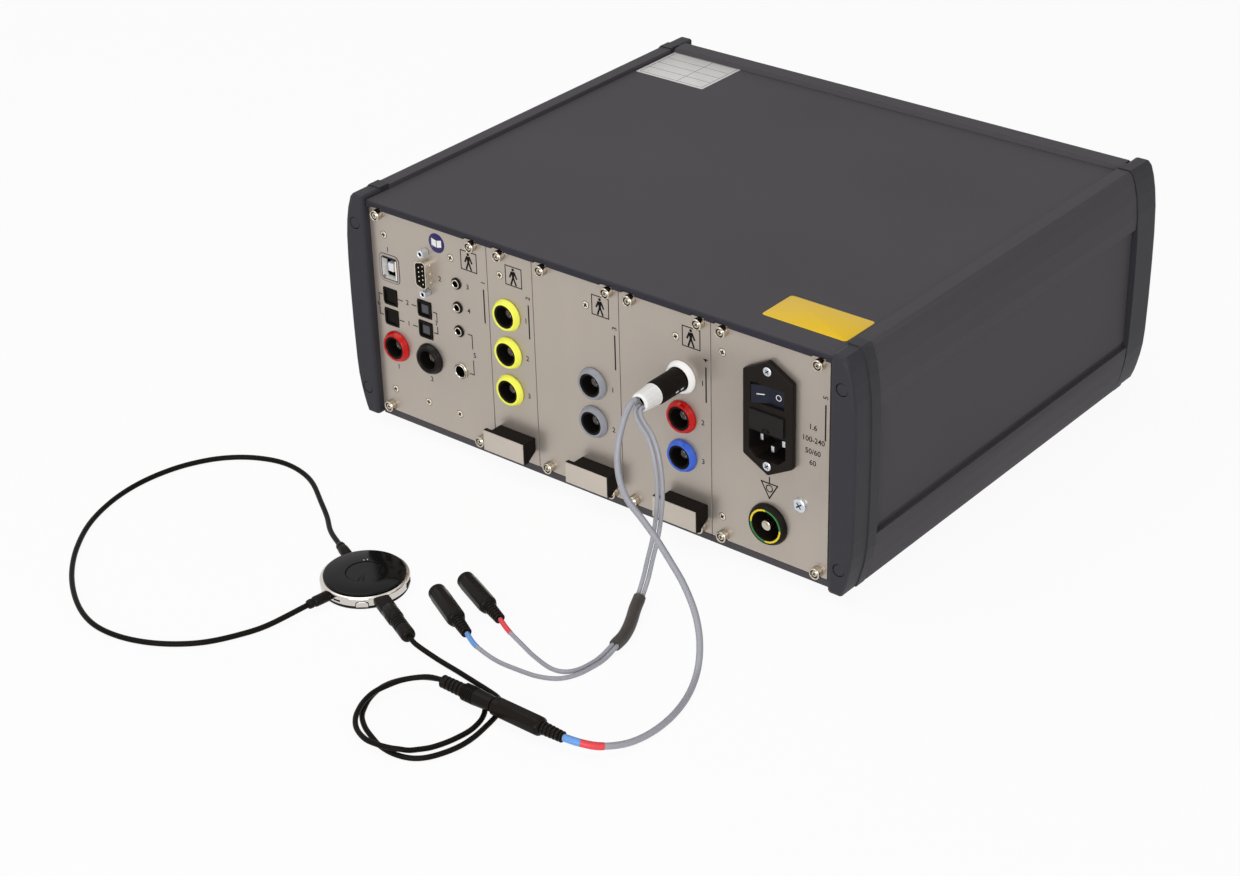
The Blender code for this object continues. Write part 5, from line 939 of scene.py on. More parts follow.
class AUDIOMETER_OT_case(AudiometerOperator, Operator):
    """Cover, rails, side walls, bottom plate and far panel in fine textured paint"""

    bl_idname = "audiometer.case"
    bl_label = "Case"

    def build(self, context):
        paint = case_paint()
        for node in ("side_left", "side_right", "sill", "front_panel"):
            dress(node, paint, 0.35)
        dress("lintel", cheek_plastic(), 0.35)
        dress("top_cover", cover_paint(), 0.35)
        dress("bottom_plate", paint, 0.3)
        dress("circuit_boards", shader("board", srgb(30, 96, 52), 0.45, grain=0.02, mottle=0.2))
        dress("power_unit", shader("screen_metal", srgb(172, 175, 178), 0.34, metallic=1.0, grain=0.01,
                                   mottle=0.1, mottle_scale=90), 0.8)


class AUDIOMETER_OT_cheeks(AudiometerOperator, Operator):
    """Moulded end cheeks with round caps over their screws"""

    bl_idname = "audiometer.cheeks"
    bl_label = "Cheeks"

    def build(self, context):
        plastic = cheek_plastic()
        cap = [(0, -0.25), (3.1, -0.25), (3.35, -0.45), (3.35, -1.9), (0, -1.9)]
        for end in ("near", "far"):
            for side in ("left", "right"):
                dress(f"cheek_{end}_{side}", plastic, 0.25)
            work = bmesh.new()
            for x, z in CAP_PLACES:
                near = end == "near"
                spin(work, cap, sheet_at(x, z, CAP_OUT) if near else axis_at(at(x, CAP_BACK, z), -OUT),
                     FINE)
            finish_piece(f"screw_caps_{end}", work, [plastic], slot="cheek_plastic")


class AUDIOMETER_OT_panels(AudiometerOperator, Operator):
    """Satin faces of the five plug-in modules"""

    bl_idname = "audiometer.panels"
    bl_label = "Panels"

    def build(self, context):
        for name in ("control", "air", "bone", "field", "power"):
            dress(f"panel_{name}", panel_metal(), 0.15)


class AUDIOMETER_OT_marks(AudiometerOperator, Operator):
    """Printed numbers, lines and plain symbols of the panels, and the round sign"""

    bl_idname = "audiometer.marks"
    bl_label = "Printed marks"

    def build(self, context):
        size = sizes()
        work = bmesh.new()
        sheet = sheet_at(0, 0)
        for text, x, z in NUMBERS:
            number(work, text, x, z, size.digits, size.print_out, sheet)
        for text, x, z in MODULE_NUMBERS:
            number(work, text, x, z, size.digits, size.print_out, sheet, 90)
            line(work, [(x, z - RULE_START), (x, z - RULE_END)], size.line * RULE_WIDTH,
                 size.print_out, sheet)
        for points in BRACKET_LINES:
            line(work, points, size.line, size.print_out, sheet)
        for x, z in SYMBOLS:
            self.add_symbol(work, sheet_at(x, z))
        self.add_earth_sign(work, sheet_at(*EARTH_SIGN))
        finish_piece("printed_marks", work, [print_ink()], slot="panel")
        self.add_disc()

    def add_symbol(self, work, sheet):
        """A plain figure in a square frame."""
        size = sizes()
        side, out = size.symbol, size.print_out
        inner = side - 2 * size.line
        pierced(work, [rectangle(side, side), rectangle(inner, inner)], 0, out, sheet)
        corner = Matrix.Translation((-side / 2, -side / 2, 0))
        figure = sheet @ corner @ Matrix.Diagonal((side, side, 1, 1))
        pierced(work, [circle(HEAD_RADIUS, 20, HEAD)], 0, out, figure)
        plate(work, TRUNK, 0, out, figure)
        for limb in LIMBS:
            line(work, limb, LIMB, out, figure)

    def add_earth_sign(self, work, sheet):
        """A ring in a triangle that hangs from a stem."""
        out, width = sizes().print_out, sizes().line * 1.25
        corners = [(-5.2, 3.0), (5.2, 3.0), (0, -5.9)]
        stem = [(0, 3.0), (0, 6.6)]
        line(work, corners + corners[:1], width, out, sheet)
        pierced(work, [circle(2.3), circle(1.65)], 0, out, sheet)
        line(work, stem, width, out, sheet)

    def add_disc(self):
        """A round blue sign with an open book."""
        work = bmesh.new()
        sheet = sheet_at(*BLUE_DISC)
        spin(work, [(0, 0.12), (5.8, 0.12), (5.9, 0.06), (5.9, 0)], sheet, ROUND, 0)
        for side in (-1, 1):
            page = [(side * 0.25, -2.6), (side * 3.7, -1.7), (side * 3.7, 2.5), (side * 0.25, 1.6)]
            plate(work, page, 0.12, 0.15, sheet, 1)
        navy = gloss_plastic("navy", finishes().navy)
        finish_piece("round_sign", work, [navy, white_ink()], slot="panel")


class AUDIOMETER_OT_labels(AudiometerOperator, Operator):
    """Two plain labels on the cover: a white one with ruled fields and a yellow one"""

    bl_idname = "audiometer.labels"
    bl_label = "Labels"

    def build(self, context):
        height = sizes().label
        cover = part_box("top_cover")[1].z
        materials = {
            "white": shader("label_paper", finishes().label_white, 0.45, grain=0.01, mottle=0.03),
            "yellow": shader("label_film", finishes().label_yellow, 0.35, grain=0.008, mottle=0.03,
                             specular=0.2),
        }
        for name, (spot, size, corner) in LABELS.items():
            work = bmesh.new()
            middle = at(*spot, 0)
            sheet = Matrix.Translation((middle.x, middle.y, cover)) @ Matrix.Scale(MM, 4)
            plate(work, rectangle(*size, corner), 0.02, height, sheet, 0, 0.03)
            if name == "white":
                self.rule_fields(work, sheet, size, height)
            finish_piece(f"label_{name}", work, [materials[name], print_ink()], slot="case_paint")

    def rule_fields(self, work, sheet, size, height):
        """Thin ruled lines that part the label into blank fields."""
        lifted = sheet @ Matrix.Translation((0, 0, height))
        half_width, half_height = size[0] / 2 - 2.0, size[1] / 2 - 2.0
        for share in (-1, -0.5, 0, 0.5, 1):
            row = share * half_height
            line(work, [(-half_width, row), (half_width, row)], 0.25, 0.02, lifted, 1)
        for share in (-1, 0.2, 1):
            column = share * half_width
            line(work, [(column, -half_height), (column, half_height)], 0.25, 0.02, lifted, 1)


class AUDIOMETER_OT_collar_screws(AudiometerOperator, Operator):
    """Captive screws: a turned collar round a small cross-head screw"""

    bl_idname = "audiometer.collar_screws"
    bl_label = "Collar screws"

    # Radius and floor of a collar's well, and the tapped strip behind the panels
    well, floor = 2.35, 0.9
    strip_ends, strip_half, strip_heights = (8.0, 313.0), 2.4, (-5.6, -3.1)

    def build(self, context):
        radius, out = sizes().collar, sizes().collar_out
        for row, z in COLLAR_SCREW_ROWS.items():
            work = bmesh.new()
            for index, step in enumerate(COLLAR_SCREW_STEPS):
                sheet = sheet_at(GRID_START + GRID_PITCH * step, z)
                collar = [(self.well, self.floor), (self.well, out - 0.25), (2.5, out),
                          (radius - 0.35, out), (radius, out - 0.35), (radius, 0.3),
                          (radius - 0.3, 0), (0, 0)]
                spin(work, collar, sheet, FINE, 0)
                # Painted shade: the floor of the well round the screw head is matt black.
                spin(work, [(self.well, self.floor), (0, self.floor)], sheet, FINE, 1)
                head = sheet @ Matrix.Translation((0, 0, out - 1.9))
                screw_head(work, head, radius=1.75, height=1.5, reach=1.15, half=0.26,
                           turn=25 + 47 * index)
            low, high = ((self.strip_ends[i], z + way * self.strip_half, self.strip_heights[i])
                         for i, way in enumerate((-1, 1)))
            block(work, low, high, sheet_at(0, 0), 0)
            finish_piece(f"collar_screws_{row}", work, [nickel(), matt_black()], slot="screw_metal",
                         replaces=(f"screw_strip_{row}",))


class AUDIOMETER_OT_panel_screws(AudiometerOperator, Operator):
    """Small flush screws, the inlet's two screws and the chassis screw"""

    bl_idname = "audiometer.panel_screws"
    bl_label = "Panel screws"

    def build(self, context):
        radius = sizes().flush_screw
        work = bmesh.new()
        for index, (x, z) in enumerate(FLUSH_SCREWS):
            sheet = sheet_at(x, z)
            # Painted shade: a dark brown disc under each head shows as the shaded ring of the
            # countersink and the floor of the cross recess.
            spin(work, [(radius, 0), (radius, 0.05), (0, 0.05)], sheet, FINE, 1)
            rim = [(radius * 0.88, 0.05), (radius * 0.86, 0.16), (radius * 0.7, 0.30)]
            spin(work, rim, sheet, FINE, 0)
            recess = turn_outline(cross(radius * 0.6, 0.5), 10 + 53 * index)
            pierced(work, [circle(radius * 0.7), recess], 0.14, 0.30, sheet, 0)
        bright = shader("bright_screw", srgb(240, 229, 208), 0.3, metallic=0.7, grain=0.004,
                        mottle=0.12, mottle_scale=400)
        # Painted shade of the countersink and the recesses, in dark brown.
        recess_shade = shader("screw_recess", srgb(52, 40, 33), 0.5, mottle=0.2, specular=0.1)
        finish_piece("flush_screws", work, [bright, recess_shade], slot="screw_metal")
        work = bmesh.new()
        for x, z in INLET_SCREWS:
            screw_head(work, sheet_at(x, z, INLET_OUT), radius=2.5, height=0.6, reach=1.5, half=0.36,
                       turn=40)
        sheet = sheet_at(*CHASSIS_SCREW)
        pan = sizes().pan_screw
        spin(work, [(pan * 0.80, 1.9), (pan * 0.93, 1.6), (pan, 1.0), (pan, 0)], sheet, ROUND, 0)
        pierced(work, [circle(pan * 0.80), turn_outline(cross(2.1, 0.42), 38)], 1.0, 1.9, sheet, 0)
        # Painted shade: a matt black floor in the cross recess.
        spin(work, [(0, 1.05), (pan * 0.78, 1.05)], sheet, FINE, 1)
        finish_piece("pan_screws", work, [zinc(), matt_black()], slot="screw_metal")


class AUDIOMETER_OT_coloured_sockets(AudiometerOperator, Operator):
    """Round sockets: a coloured ring, a black inner ring and a stud with three contacts"""

    bl_idname = "audiometer.coloured_sockets"
    bl_label = "Coloured sockets"

    # Radius of the seam between the two rings, floor of the bore, stud, and its contacts
    seam, floor, stud, contact_ring = 6.95, -13.8, 2.8, 1.5
    stud_top, white_stud_top = -1.5, -5.2

    def build(self, context):
        for node, (tone, spots) in SOCKETS.items():
            work = bmesh.new()
            for x, z in spots:
                top = self.white_stud_top if tone == "white" else self.stud_top
                self.add_socket(work, sheet_at(x, z), top)
            black = tone == "black"
            ring = gloss_plastic(tone, getattr(finishes(), tone), 0.12 if black else 0.25)
            stud = shader("socket_stud", srgb(84, 80, 78), 0.35, grain=0.01, mottle=0.15, specular=0.2)
            stand_in(node, work, [ring, matt_black(), stud, nickel()],
                     "black_plastic" if black else f"ring_{tone}")

    def add_socket(self, work, sheet, top):
        """A socket whose stud ends at a height of its sheet."""
        size = sizes()
        out, face, base, bore = size.ring_out, size.ring_face, size.ring_base, size.bore
        ring = [(self.seam, out - 0.9), (self.seam, out - 0.25), (7.2, out), (face - 0.2, out),
                (face + 0.12, out - 0.22), (base - 0.25, 1.15), (base, 0.75), (base, 0.3),
                (self.seam, 0.3)]
        spin(work, ring, sheet, ROUND, 0, closed=True)
        cup = [(6.94, 0.2), (6.94, out - 0.45), (6.6, out - 0.25), (bore + 0.35, out - 0.25),
               (bore, out - 0.6), (bore, self.floor), (self.stud, self.floor)]
        spin(work, cup, sheet, ROUND, 1)
        stud = [(self.stud, self.floor), (self.stud, top - 0.3), (2.5, top), (0, top)]
        spin(work, stud, sheet, FINE, 2)
        for turn in (90, 210, 330):
            pin = sheet @ Matrix.Translation(heading(turn) * self.contact_ring)
            spin(work, [(0.42, top), (0.42, top + 0.25), (0.3, top + 0.4), (0, top + 0.4)], pin, 12, 3)
        back = [(6.6, -0.1), (6.6, -16.0), (0, -16.0)]
        spin(work, back, sheet, FINE, 1)


class AUDIOMETER_OT_data_socket(AudiometerOperator, Operator):
    """Square data socket: bezel, folded shell and the tongue in its mouth"""

    bl_idname = "audiometer.data_socket"
    bl_label = "Data socket"

    def build(self, context):
        sheet = sheet_at(*DATA_SOCKET)
        work = bmesh.new()
        pierced(work, [rectangle(16.0, 18.2), rectangle(14.8, 17.0, 2.8)], -0.9, -0.02, sheet, 6)
        pierced(work, [rectangle(15.4, 17.6, 3.1), rectangle(14.6, 16.8, 2.7)], -0.5, 0.12, sheet, 5)
        pierced(work, [rectangle(14.7, 16.9, 2.8), self.mouth(11.9, 14.1, 1.4)], -2.0, 0.22, sheet, 0)
        pierced(work, [self.mouth(12.2, 14.4, 1.5), self.mouth(11.2, 13.2, 1.3)], -1.5, 0.28, sheet, 5)
        # Painted shadow: a black strip along the top inside the mouth.
        block(work, (-4.6, 5.7, -2.5), (5.7, 6.75, 0.1), sheet, 2)
        # Painted shade: the liner is bright near the mouth and deep black further in.
        liner = [self.mouth(11.6, 13.8, 1.3), self.mouth(10.9, 13.1, 1.1)]
        pierced(work, liner, -4.0, 0.2, sheet, 1)
        pierced(work, liner, -8.5, -4.0, sheet, 2)
        block(work, (4.5, -6.4, -1.2), (5.4, 5.6, 0.15), sheet, 1, 0.1)
        # Painted shade: a deep black floor at the back of the mouth.
        block(work, (-5.6, -6.7, -8.8), (5.6, 6.7, -8.0), sheet, 2)
        block(work, (-2.7, -2.6, -8.2), (1.5, 2.7, -1.4), sheet, 3, 0.35)
        block(work, (1.5, -2.6, -8.2), (2.6, 2.6, -1.9), sheet, 4, 0.2)
        body = [rectangle(14.6, 16.8, 0.4), self.mouth(11.7, 13.9, 1.35)]
        pierced(work, body, -13.4, -2.0, sheet, 1)
        bezel = shader("bezel_grey", srgb(168, 158, 152), 0.45, grain=0.01, mottle=0.06, specular=0.3)
        # Painted light: the shell is near-white and not metallic, so that its shaded inside stays
        # bright.
        shell = shader("data_shell", srgb(250, 249, 245), 0.3, metallic=0.0, grain=0.004, mottle=0.05)
        joint = shader("bezel_joint", srgb(58, 51, 57), 0.5, mottle=0.1, specular=0.1)
        tongue = gloss_plastic("tongue", srgb(226, 226, 236))
        stand_in("usb_socket", work,
                 [bezel, shell, deep_black(), tongue, brass(), joint, panel_metal()], "usb_metal")

    def mouth(self, width, height, cut):
        """A mouth with its two left corners cut off."""
        half, rise = width / 2, height / 2
        return [(half, rise), (-half + cut, rise), (-half, rise - cut), (-half, -rise + cut),
                (-half + cut, -rise), (half, -rise)]


class AUDIOMETER_OT_serial_plug(AudiometerOperator, Operator):
    """Nine-way serial plug: pressed shell, black insert, pins and two hexagonal posts"""

    bl_idname = "audiometer.serial_plug"
    bl_label = "Serial plug"

    # Rows of pins as a count and a place, their pitch, the posts' places, and the dimples'
    rows, pitch, post_place, dimples = ((5, 1.42), (4, -1.42)), 2.76, 12.5, (-5.0, 0.3, 5.6)

    def build(self, context):
        sheet = sheet_at(*SERIAL)
        work = bmesh.new()
        pierced(work, [self.shell(0), self.shell(0.5)], -0.2, 5.8, sheet, 0)
        for v in self.dimples:
            dimple = sheet @ Matrix.Translation((4.1, v, 1.5)) @ Matrix.Rotation(math.pi / 2, 4, "Y")
            spin(work, [(0.75, 0), (0.5, 0.3), (0, 0.38)], dimple, THIN, 0)
        pierced(work, [rectangle(9.2, 17.8), self.shell(0)], -0.8, -0.02, sheet, 4)
        plate(work, self.shell(0.45), -0.3, 5.2, sheet, 1)
        for count, u in self.rows:
            for i in range(count):
                pin = sheet @ Matrix.Translation((u, (i - (count - 1) / 2) * self.pitch, 0))
                spin(work, [(0.42, 5.1), (0.42, 5.35), (0.3, 5.5), (0, 5.55)], pin, THIN, 2)
        plate(work, rectangle(12.4, 30.5, 1.5), -4.0, -2.85, sheet, 0)
        plate(work, self.shell(0.1), -8.0, -0.3, sheet, 1)
        for side in (-1, 1):
            post = sheet @ Matrix.Translation((0, side * self.post_place, 0))
            hexagon = circle(2.5, 6)
            pierced(work, [turn_outline(hexagon, 30), circle(1.15)], 0.3, 4.9, post, 3)
            # Painted shade: the bore of each post is deep black.
            spin(work, [(1.15, 4.9), (1.15, 1.2), (0, 1.2)], post, FINE, 1)
            spin(work, [(2.1, 4.9), (1.95, 5.25), (1.4, 5.25), (1.15, 5.0)], post, FINE, 3)
            spin(work, [(1.3, -4.0), (1.3, 0.3)], post, THIN, 3)
        shell = shader("serial_shell", srgb(210, 204, 190), 0.24, metallic=0.85, grain=0.004,
                       mottle=0.08)
        gold = shader("pin_gold", srgb(238, 222, 190), 0.3, metallic=0.4, mottle=0.05)
        stand_in("serial_plug", work, [shell, deep_black(), gold, zinc(), panel_metal()],
                 "serial_metal")

    def shell(self, inset):
        """The D outline, upright, its long side to the right."""
        half, left, right, corner = (value - inset for value in (4.15, 7.65, 8.45, 2.6))
        outline = []
        ends = ((half, right), (-half, left), (-half, -left), (half, -right))
        for index, (u, v) in enumerate(ends):
            middle = (u - math.copysign(corner, u), v - math.copysign(corner, v))
            for step in range(5):
                angle = math.radians(90 * index + 22.5 * step)
                outline.append((middle[0] + corner * math.cos(angle),
                                middle[1] + corner * math.sin(angle)))
        return outline


class AUDIOMETER_OT_jacks(AudiometerOperator, Operator):
    """Three small jack sockets over a large one"""

    bl_idname = "audiometer.jacks"
    bl_label = "Jacks"

    # Profiles with their sides and the place of their material, from the rim to the back
    small = (
        ([(2.7, 0.3), (2.8, 0.75), (3.0, 0.85), (3.3, 0.85), (3.5, 0.6), (3.5, 0)], FINE, 1),
        ([(2.65, 0), (2.65, 1.3), (2.5, 1.5), (2.2, 1.5), (1.9, 1.25), (1.9, 0.3)], FINE, 0),
        ([(1.9, 0.3), (1.8, -1.0), (1.8, -9.8), (0, -9.8)], FINE, 2),
        ([(2.4, 0), (2.4, -11.0), (0, -11.0)], FINE, 1),
    )
    large = (
        ([(4.9, 0.1), (4.9, 0.8), (4.7, 1.1), (4.45, 1.2)], ROUND, 0),
        ([(4.45, 1.2), (4.35, 0.8), (4.2, 0.8)], ROUND, 1),
        ([(4.2, 0.8), (4.15, 1.5), (3.95, 1.75), (3.7, 1.75), (3.4, 1.4), (3.35, 0.2)], ROUND, 3),
        ([(3.35, 0.2), (3.2, -0.4), (3.2, -17.0), (0, -17.0)], FINE, 2),
        ([(3.9, 0), (3.9, -18.0), (0, -18.0)], FINE, 1),
    )

    def turn(self, work, sheet, profiles):
        for profile, sides, material in profiles:
            spin(work, profile, sheet, sides, material)

    def build(self, context):
        work = bmesh.new()
        for spot in SMALL_JACKS:
            self.turn(work, sheet_at(*spot), self.small)
        self.turn(work, sheet_at(*LARGE_JACK), self.large)
        stand_in("jack_sockets", work, [nickel(), matt_black(), deep_black(), chrome()], "jack_metal")


class AUDIOMETER_OT_optical_sockets(AudiometerOperator, Operator):
    """Four optical sockets with cut corners and their sprung flaps"""

    bl_idname = "audiometer.optical_sockets"
    bl_label = "Optical sockets"

    # Half of a socket's frame, cut of its corners, its window, and how deep it goes
    half, cut, window, depth = 5.15, 1.1, 8.2, -11.0

    def build(self, context):
        work = bmesh.new()
        for name, spot in OPTICAL.items():
            sheet = sheet_at(*spot)
            window = rectangle(self.window, self.window)
            pierced(work, [self.frame(), window], self.depth, 0.6, sheet, 0)
            plate(work, self.frame(), -12.5, self.depth, sheet, 0)
            spin(work, [(1.6, -10.9), (1.6, -8.6), (1.2, -8.3), (0, -8.3)], sheet, FINE, 1)
            self.add_flap(name, sheet)
        stand_in("optical_sockets", work, [matt_black(), deep_black()], "black_plastic")

    def frame(self):
        """A square with its corners cut off, the lower ones more."""
        half, cut, deep = self.half, self.cut, self.cut * 1.5
        return [(half, half - cut * 0.5), (half - cut * 0.5, half), (-half + cut * 0.5, half),
                (-half, half - cut * 0.5), (-half, -half + deep), (-half + deep, -half),
                (half - deep, -half), (half, -half + deep)]

    def add_flap(self, name, sheet):
        """A flap with a raised rim round its middle."""
        work = bmesh.new()
        grey = name.startswith("out")
        tone = shader("flap_grey", srgb(66, 64, 72), 0.4, grain=0.02, mottle=0.1)
        plate(work, rectangle(7.5, 7.5, 0.3), -1.0, -0.35, sheet, 0, 0.12)
        if grey:
            plate(work, rectangle(5.2, 5.2, 0.3), -0.36, -0.24, sheet, 1, 0.04)
        pierced(work, [rectangle(6.9, 6.9, 0.3), rectangle(5.6, 5.6, 0.3)], -0.4, -0.22, sheet, 0)
        spin(work, [(0.35, -3.5), (0.35, 3.5)], sheet @ Matrix.Translation((0, 3.42, -0.68))
             @ Matrix.Rotation(math.pi / 2, 4, "Y"), 12, 0)
        node = f"optical_flap_{name}"
        stand_in(node, work, [matt_black(), tone], "flap_grey" if grey else "black_plastic", body=node)


class AUDIOMETER_OT_mains_inlet(AudiometerOperator, Operator):
    """Mains inlet moulding with its blades, rocker with two marks, and fuse drawer"""

    bl_idname = "audiometer.mains_inlet"
    bl_label = "Mains inlet"

    # Half width and half height of a blade, its depth, and where its bright end starts and ends
    blade, blade_back, blade_front, blade_tip = (1.0, 2.0), -15.0, -1.8, -1.0

    def build(self, context):
        dress("inlet_housing", black_moulding(), 0.12)
        sheet = sheet_at(*INLET)
        work = bmesh.new()
        for u, v in BLADES:
            half, rise = self.blade
            block(work, (u - half, v - rise, self.blade_back), (u + half, v + rise, self.blade_front),
                  sheet, 1)
            block(work, (u - half, v - rise + 0.2, self.blade_front - 0.1),
                  (u + half, v + rise - 0.2, self.blade_tip), sheet, 0, 0.3)
        shade = shader("blade_shade", srgb(62, 58, 54), 0.4, metallic=0.6, mottle=0.1)
        finish_piece("inlet_blades", work, [zinc(), shade], slot="screw_metal")
        dress("rocker", shader("rocker_plastic", srgb(25, 28, 42), 0.28, grain=0.01, mottle=0.1,
                               specular=0.2), 0.25)
        self.add_rocker_marks()
        dress("fuse_drawer", shader("drawer_plastic", srgb(33, 30, 30), 0.5, grain=0.02, mottle=0.1,
                                     specular=0.1), 0.3)
        work = bmesh.new()
        block(work, (-1.1, -6.6, 4.9), (1.1, -5.4, 5.25), sheet, 0, 0.08)
        face = sheet @ Matrix.Translation((0, -1.8, 0))
        pierced(work, [rectangle(20.4, 9.8, 0.8), rectangle(19.4, 8.8, 0.5)], 4.6, 4.76, face, 1)
        for side in (-1, 1):
            block(work, (side * 10.6 - 0.3, -1.6, 4.6), (side * 10.6 + 0.3, 1.2, 4.78), face, 1)
        finish_piece("drawer_lip", work, [black_moulding(), deep_black()], body="fuse_drawer",
                     slot="black_plastic")

    def add_rocker_marks(self):
        """A bar on the raised half and a ring on the pressed half."""
        work = bmesh.new()
        pivot = Matrix.Translation(at(INLET[0], ROCKER_DEPTH, INLET[1] + ROCKER_RISE))
        for middle, degrees in ROCKER_MARKS:
            turn = Matrix.Rotation(math.radians(degrees), 4, "Z")
            spot = pivot @ turn @ facing(OUT) @ Matrix.Scale(MM, 4)
            sheet = spot @ Matrix.Translation((middle, 0, 0))
            if middle < 0:
                plate(work, rectangle(4.3, 0.55), 0.0, 0.06, sheet, 0)
            else:
                pierced(work, [circle(1.75), circle(1.35)], 0.0, 0.06, sheet, 0)
        finish_piece("rocker_marks", work, [white_ink()], body="rocker", slot="black_plastic")


class AUDIOMETER_OT_earth_terminal(AudiometerOperator, Operator):
    """Earth terminal: black cup, ring in green and yellow quarters, and its bright pin"""

    bl_idname = "audiometer.earth_terminal"
    bl_label = "Earth terminal"

    def build(self, context):
        sheet = sheet_at(*EARTH)
        work = bmesh.new()
        cup = [(0, -9.5), (8.6, -9.5), (8.6, 3.3), (8.8, 3.55), (10.5, 3.7), (10.9, 3.55), (11.7, 2.2),
               (12.0, 1.4), (12.0, 0.3), (10.0, 0.3), (10.0, -12.0), (0, -12.0)]
        spin(work, cup, sheet, ROUND, 0)
        ring = [(8.85, 3.6), (8.85, 3.7), (9.0, 3.76), (9.75, 3.78), (9.9, 3.7), (9.9, 3.6)]
        for quarter in range(4):
            spin(work, ring, sheet, 12, 1 + quarter % 2, closed=True,
                 sweep=(90 * quarter, 90 * quarter + 90))
        pin = [(3.0, -9.5), (3.0, 2.5), (2.85, 2.9), (2.4, 3.2), (1.2, 3.35), (0, 3.38)]
        spin(work, pin, sheet, FINE, 3)
        green = gloss_plastic("earth_green", finishes().earth_green)
        yellow = gloss_plastic("earth_yellow", finishes().earth_yellow)
        stand_in("earth_terminal", work, [black_moulding(), green, yellow, nickel()], "black_plastic")


class AUDIOMETER_OT_pull_handles(AudiometerOperator, Operator):
    """Black pull handles with bright front plates"""

    bl_idname = "audiometer.pull_handles"
    bl_label = "Pull handles"

    def build(self, context):
        for name, right in HANDLE_RIGHTS.items():
            dress(f"pull_handle_{name}", matt_black(), 0.3)
            work = bmesh.new()
            low = (right - HANDLE_WIDTH + 0.1, *HANDLE_PLATE[0])
            block(work, low, (right - 0.9, *HANDLE_PLATE[1]), sheet_at(0, 0), 0, 0.15)
            finish_piece(f"handle_plate_{name}", work, [plate_metal()], slot="panel")


class AUDIOMETER_OT_patient_plug(AudiometerOperator, Operator):
    """Plug in the white socket: black barrel and fluted white collet"""

    bl_idname = "audiometer.patient_plug"
    bl_label = "Patient plug"

    def build(self, context):
        x, z = SOCKETS["socket_field_white"][1][0]
        sheet = sheet_at(x, z)
        work = bmesh.new()
        barrel = [(0, 23.0), (5.9, 23.0), (6.5, 22.6), (6.7, 22.0), (6.7, 14.2), (6.55, 14.0),
                  (6.55, 13.4), (6.7, 13.2), (6.7, 4.3), (6.4, 3.9), (5.3, 3.8), (5.3, -4.5), (0, -4.5)]
        spin(work, barrel, sheet, ROUND, 0)
        mark = sheet @ Matrix.Rotation(math.radians(-15), 4, "Z")
        for height in (6.7, 10.8):
            block(work, (6.4, -0.5, height), (6.76, 0.5, height + 2.3), mark, 1, 0.05)
        stand_in("plug_barrel", work, [matt_black(), white_ink()], "black_plastic")
        work = bmesh.new()
        self.add_collet(work, sheet)
        white = gloss_plastic("collet", finishes().white)
        stand_in("plug_collet", work, [white, deep_black()], "plug_white")

    def add_collet(self, work, sheet):
        """A fluted nut whose flutes run out before its ends."""
        def fluted(radius, depth, angle):
            return radius - depth * (0.5 + 0.5 * math.cos(16 * angle))

        profile = ((5.5, 23.3, 0), (6.2, 23.9, 0), (6.2, 24.3, 0.12), (6.0, 26.0, 0.3),
                   (5.5, 33.5, 0.3), (5.35, 34.8, 0.1), (5.05, 35.6, 0), (4.6, 35.98, 0),
                   (3.7, 36.0, 0), (3.5, 35.7, 0), (3.5, 31.0, 0))
        shape_round(work, profile, fluted, sheet, WIDE, cap=True)
        spin(work, [(3.5, 31.0), (0, 31.0)], sheet, FINE, 1)


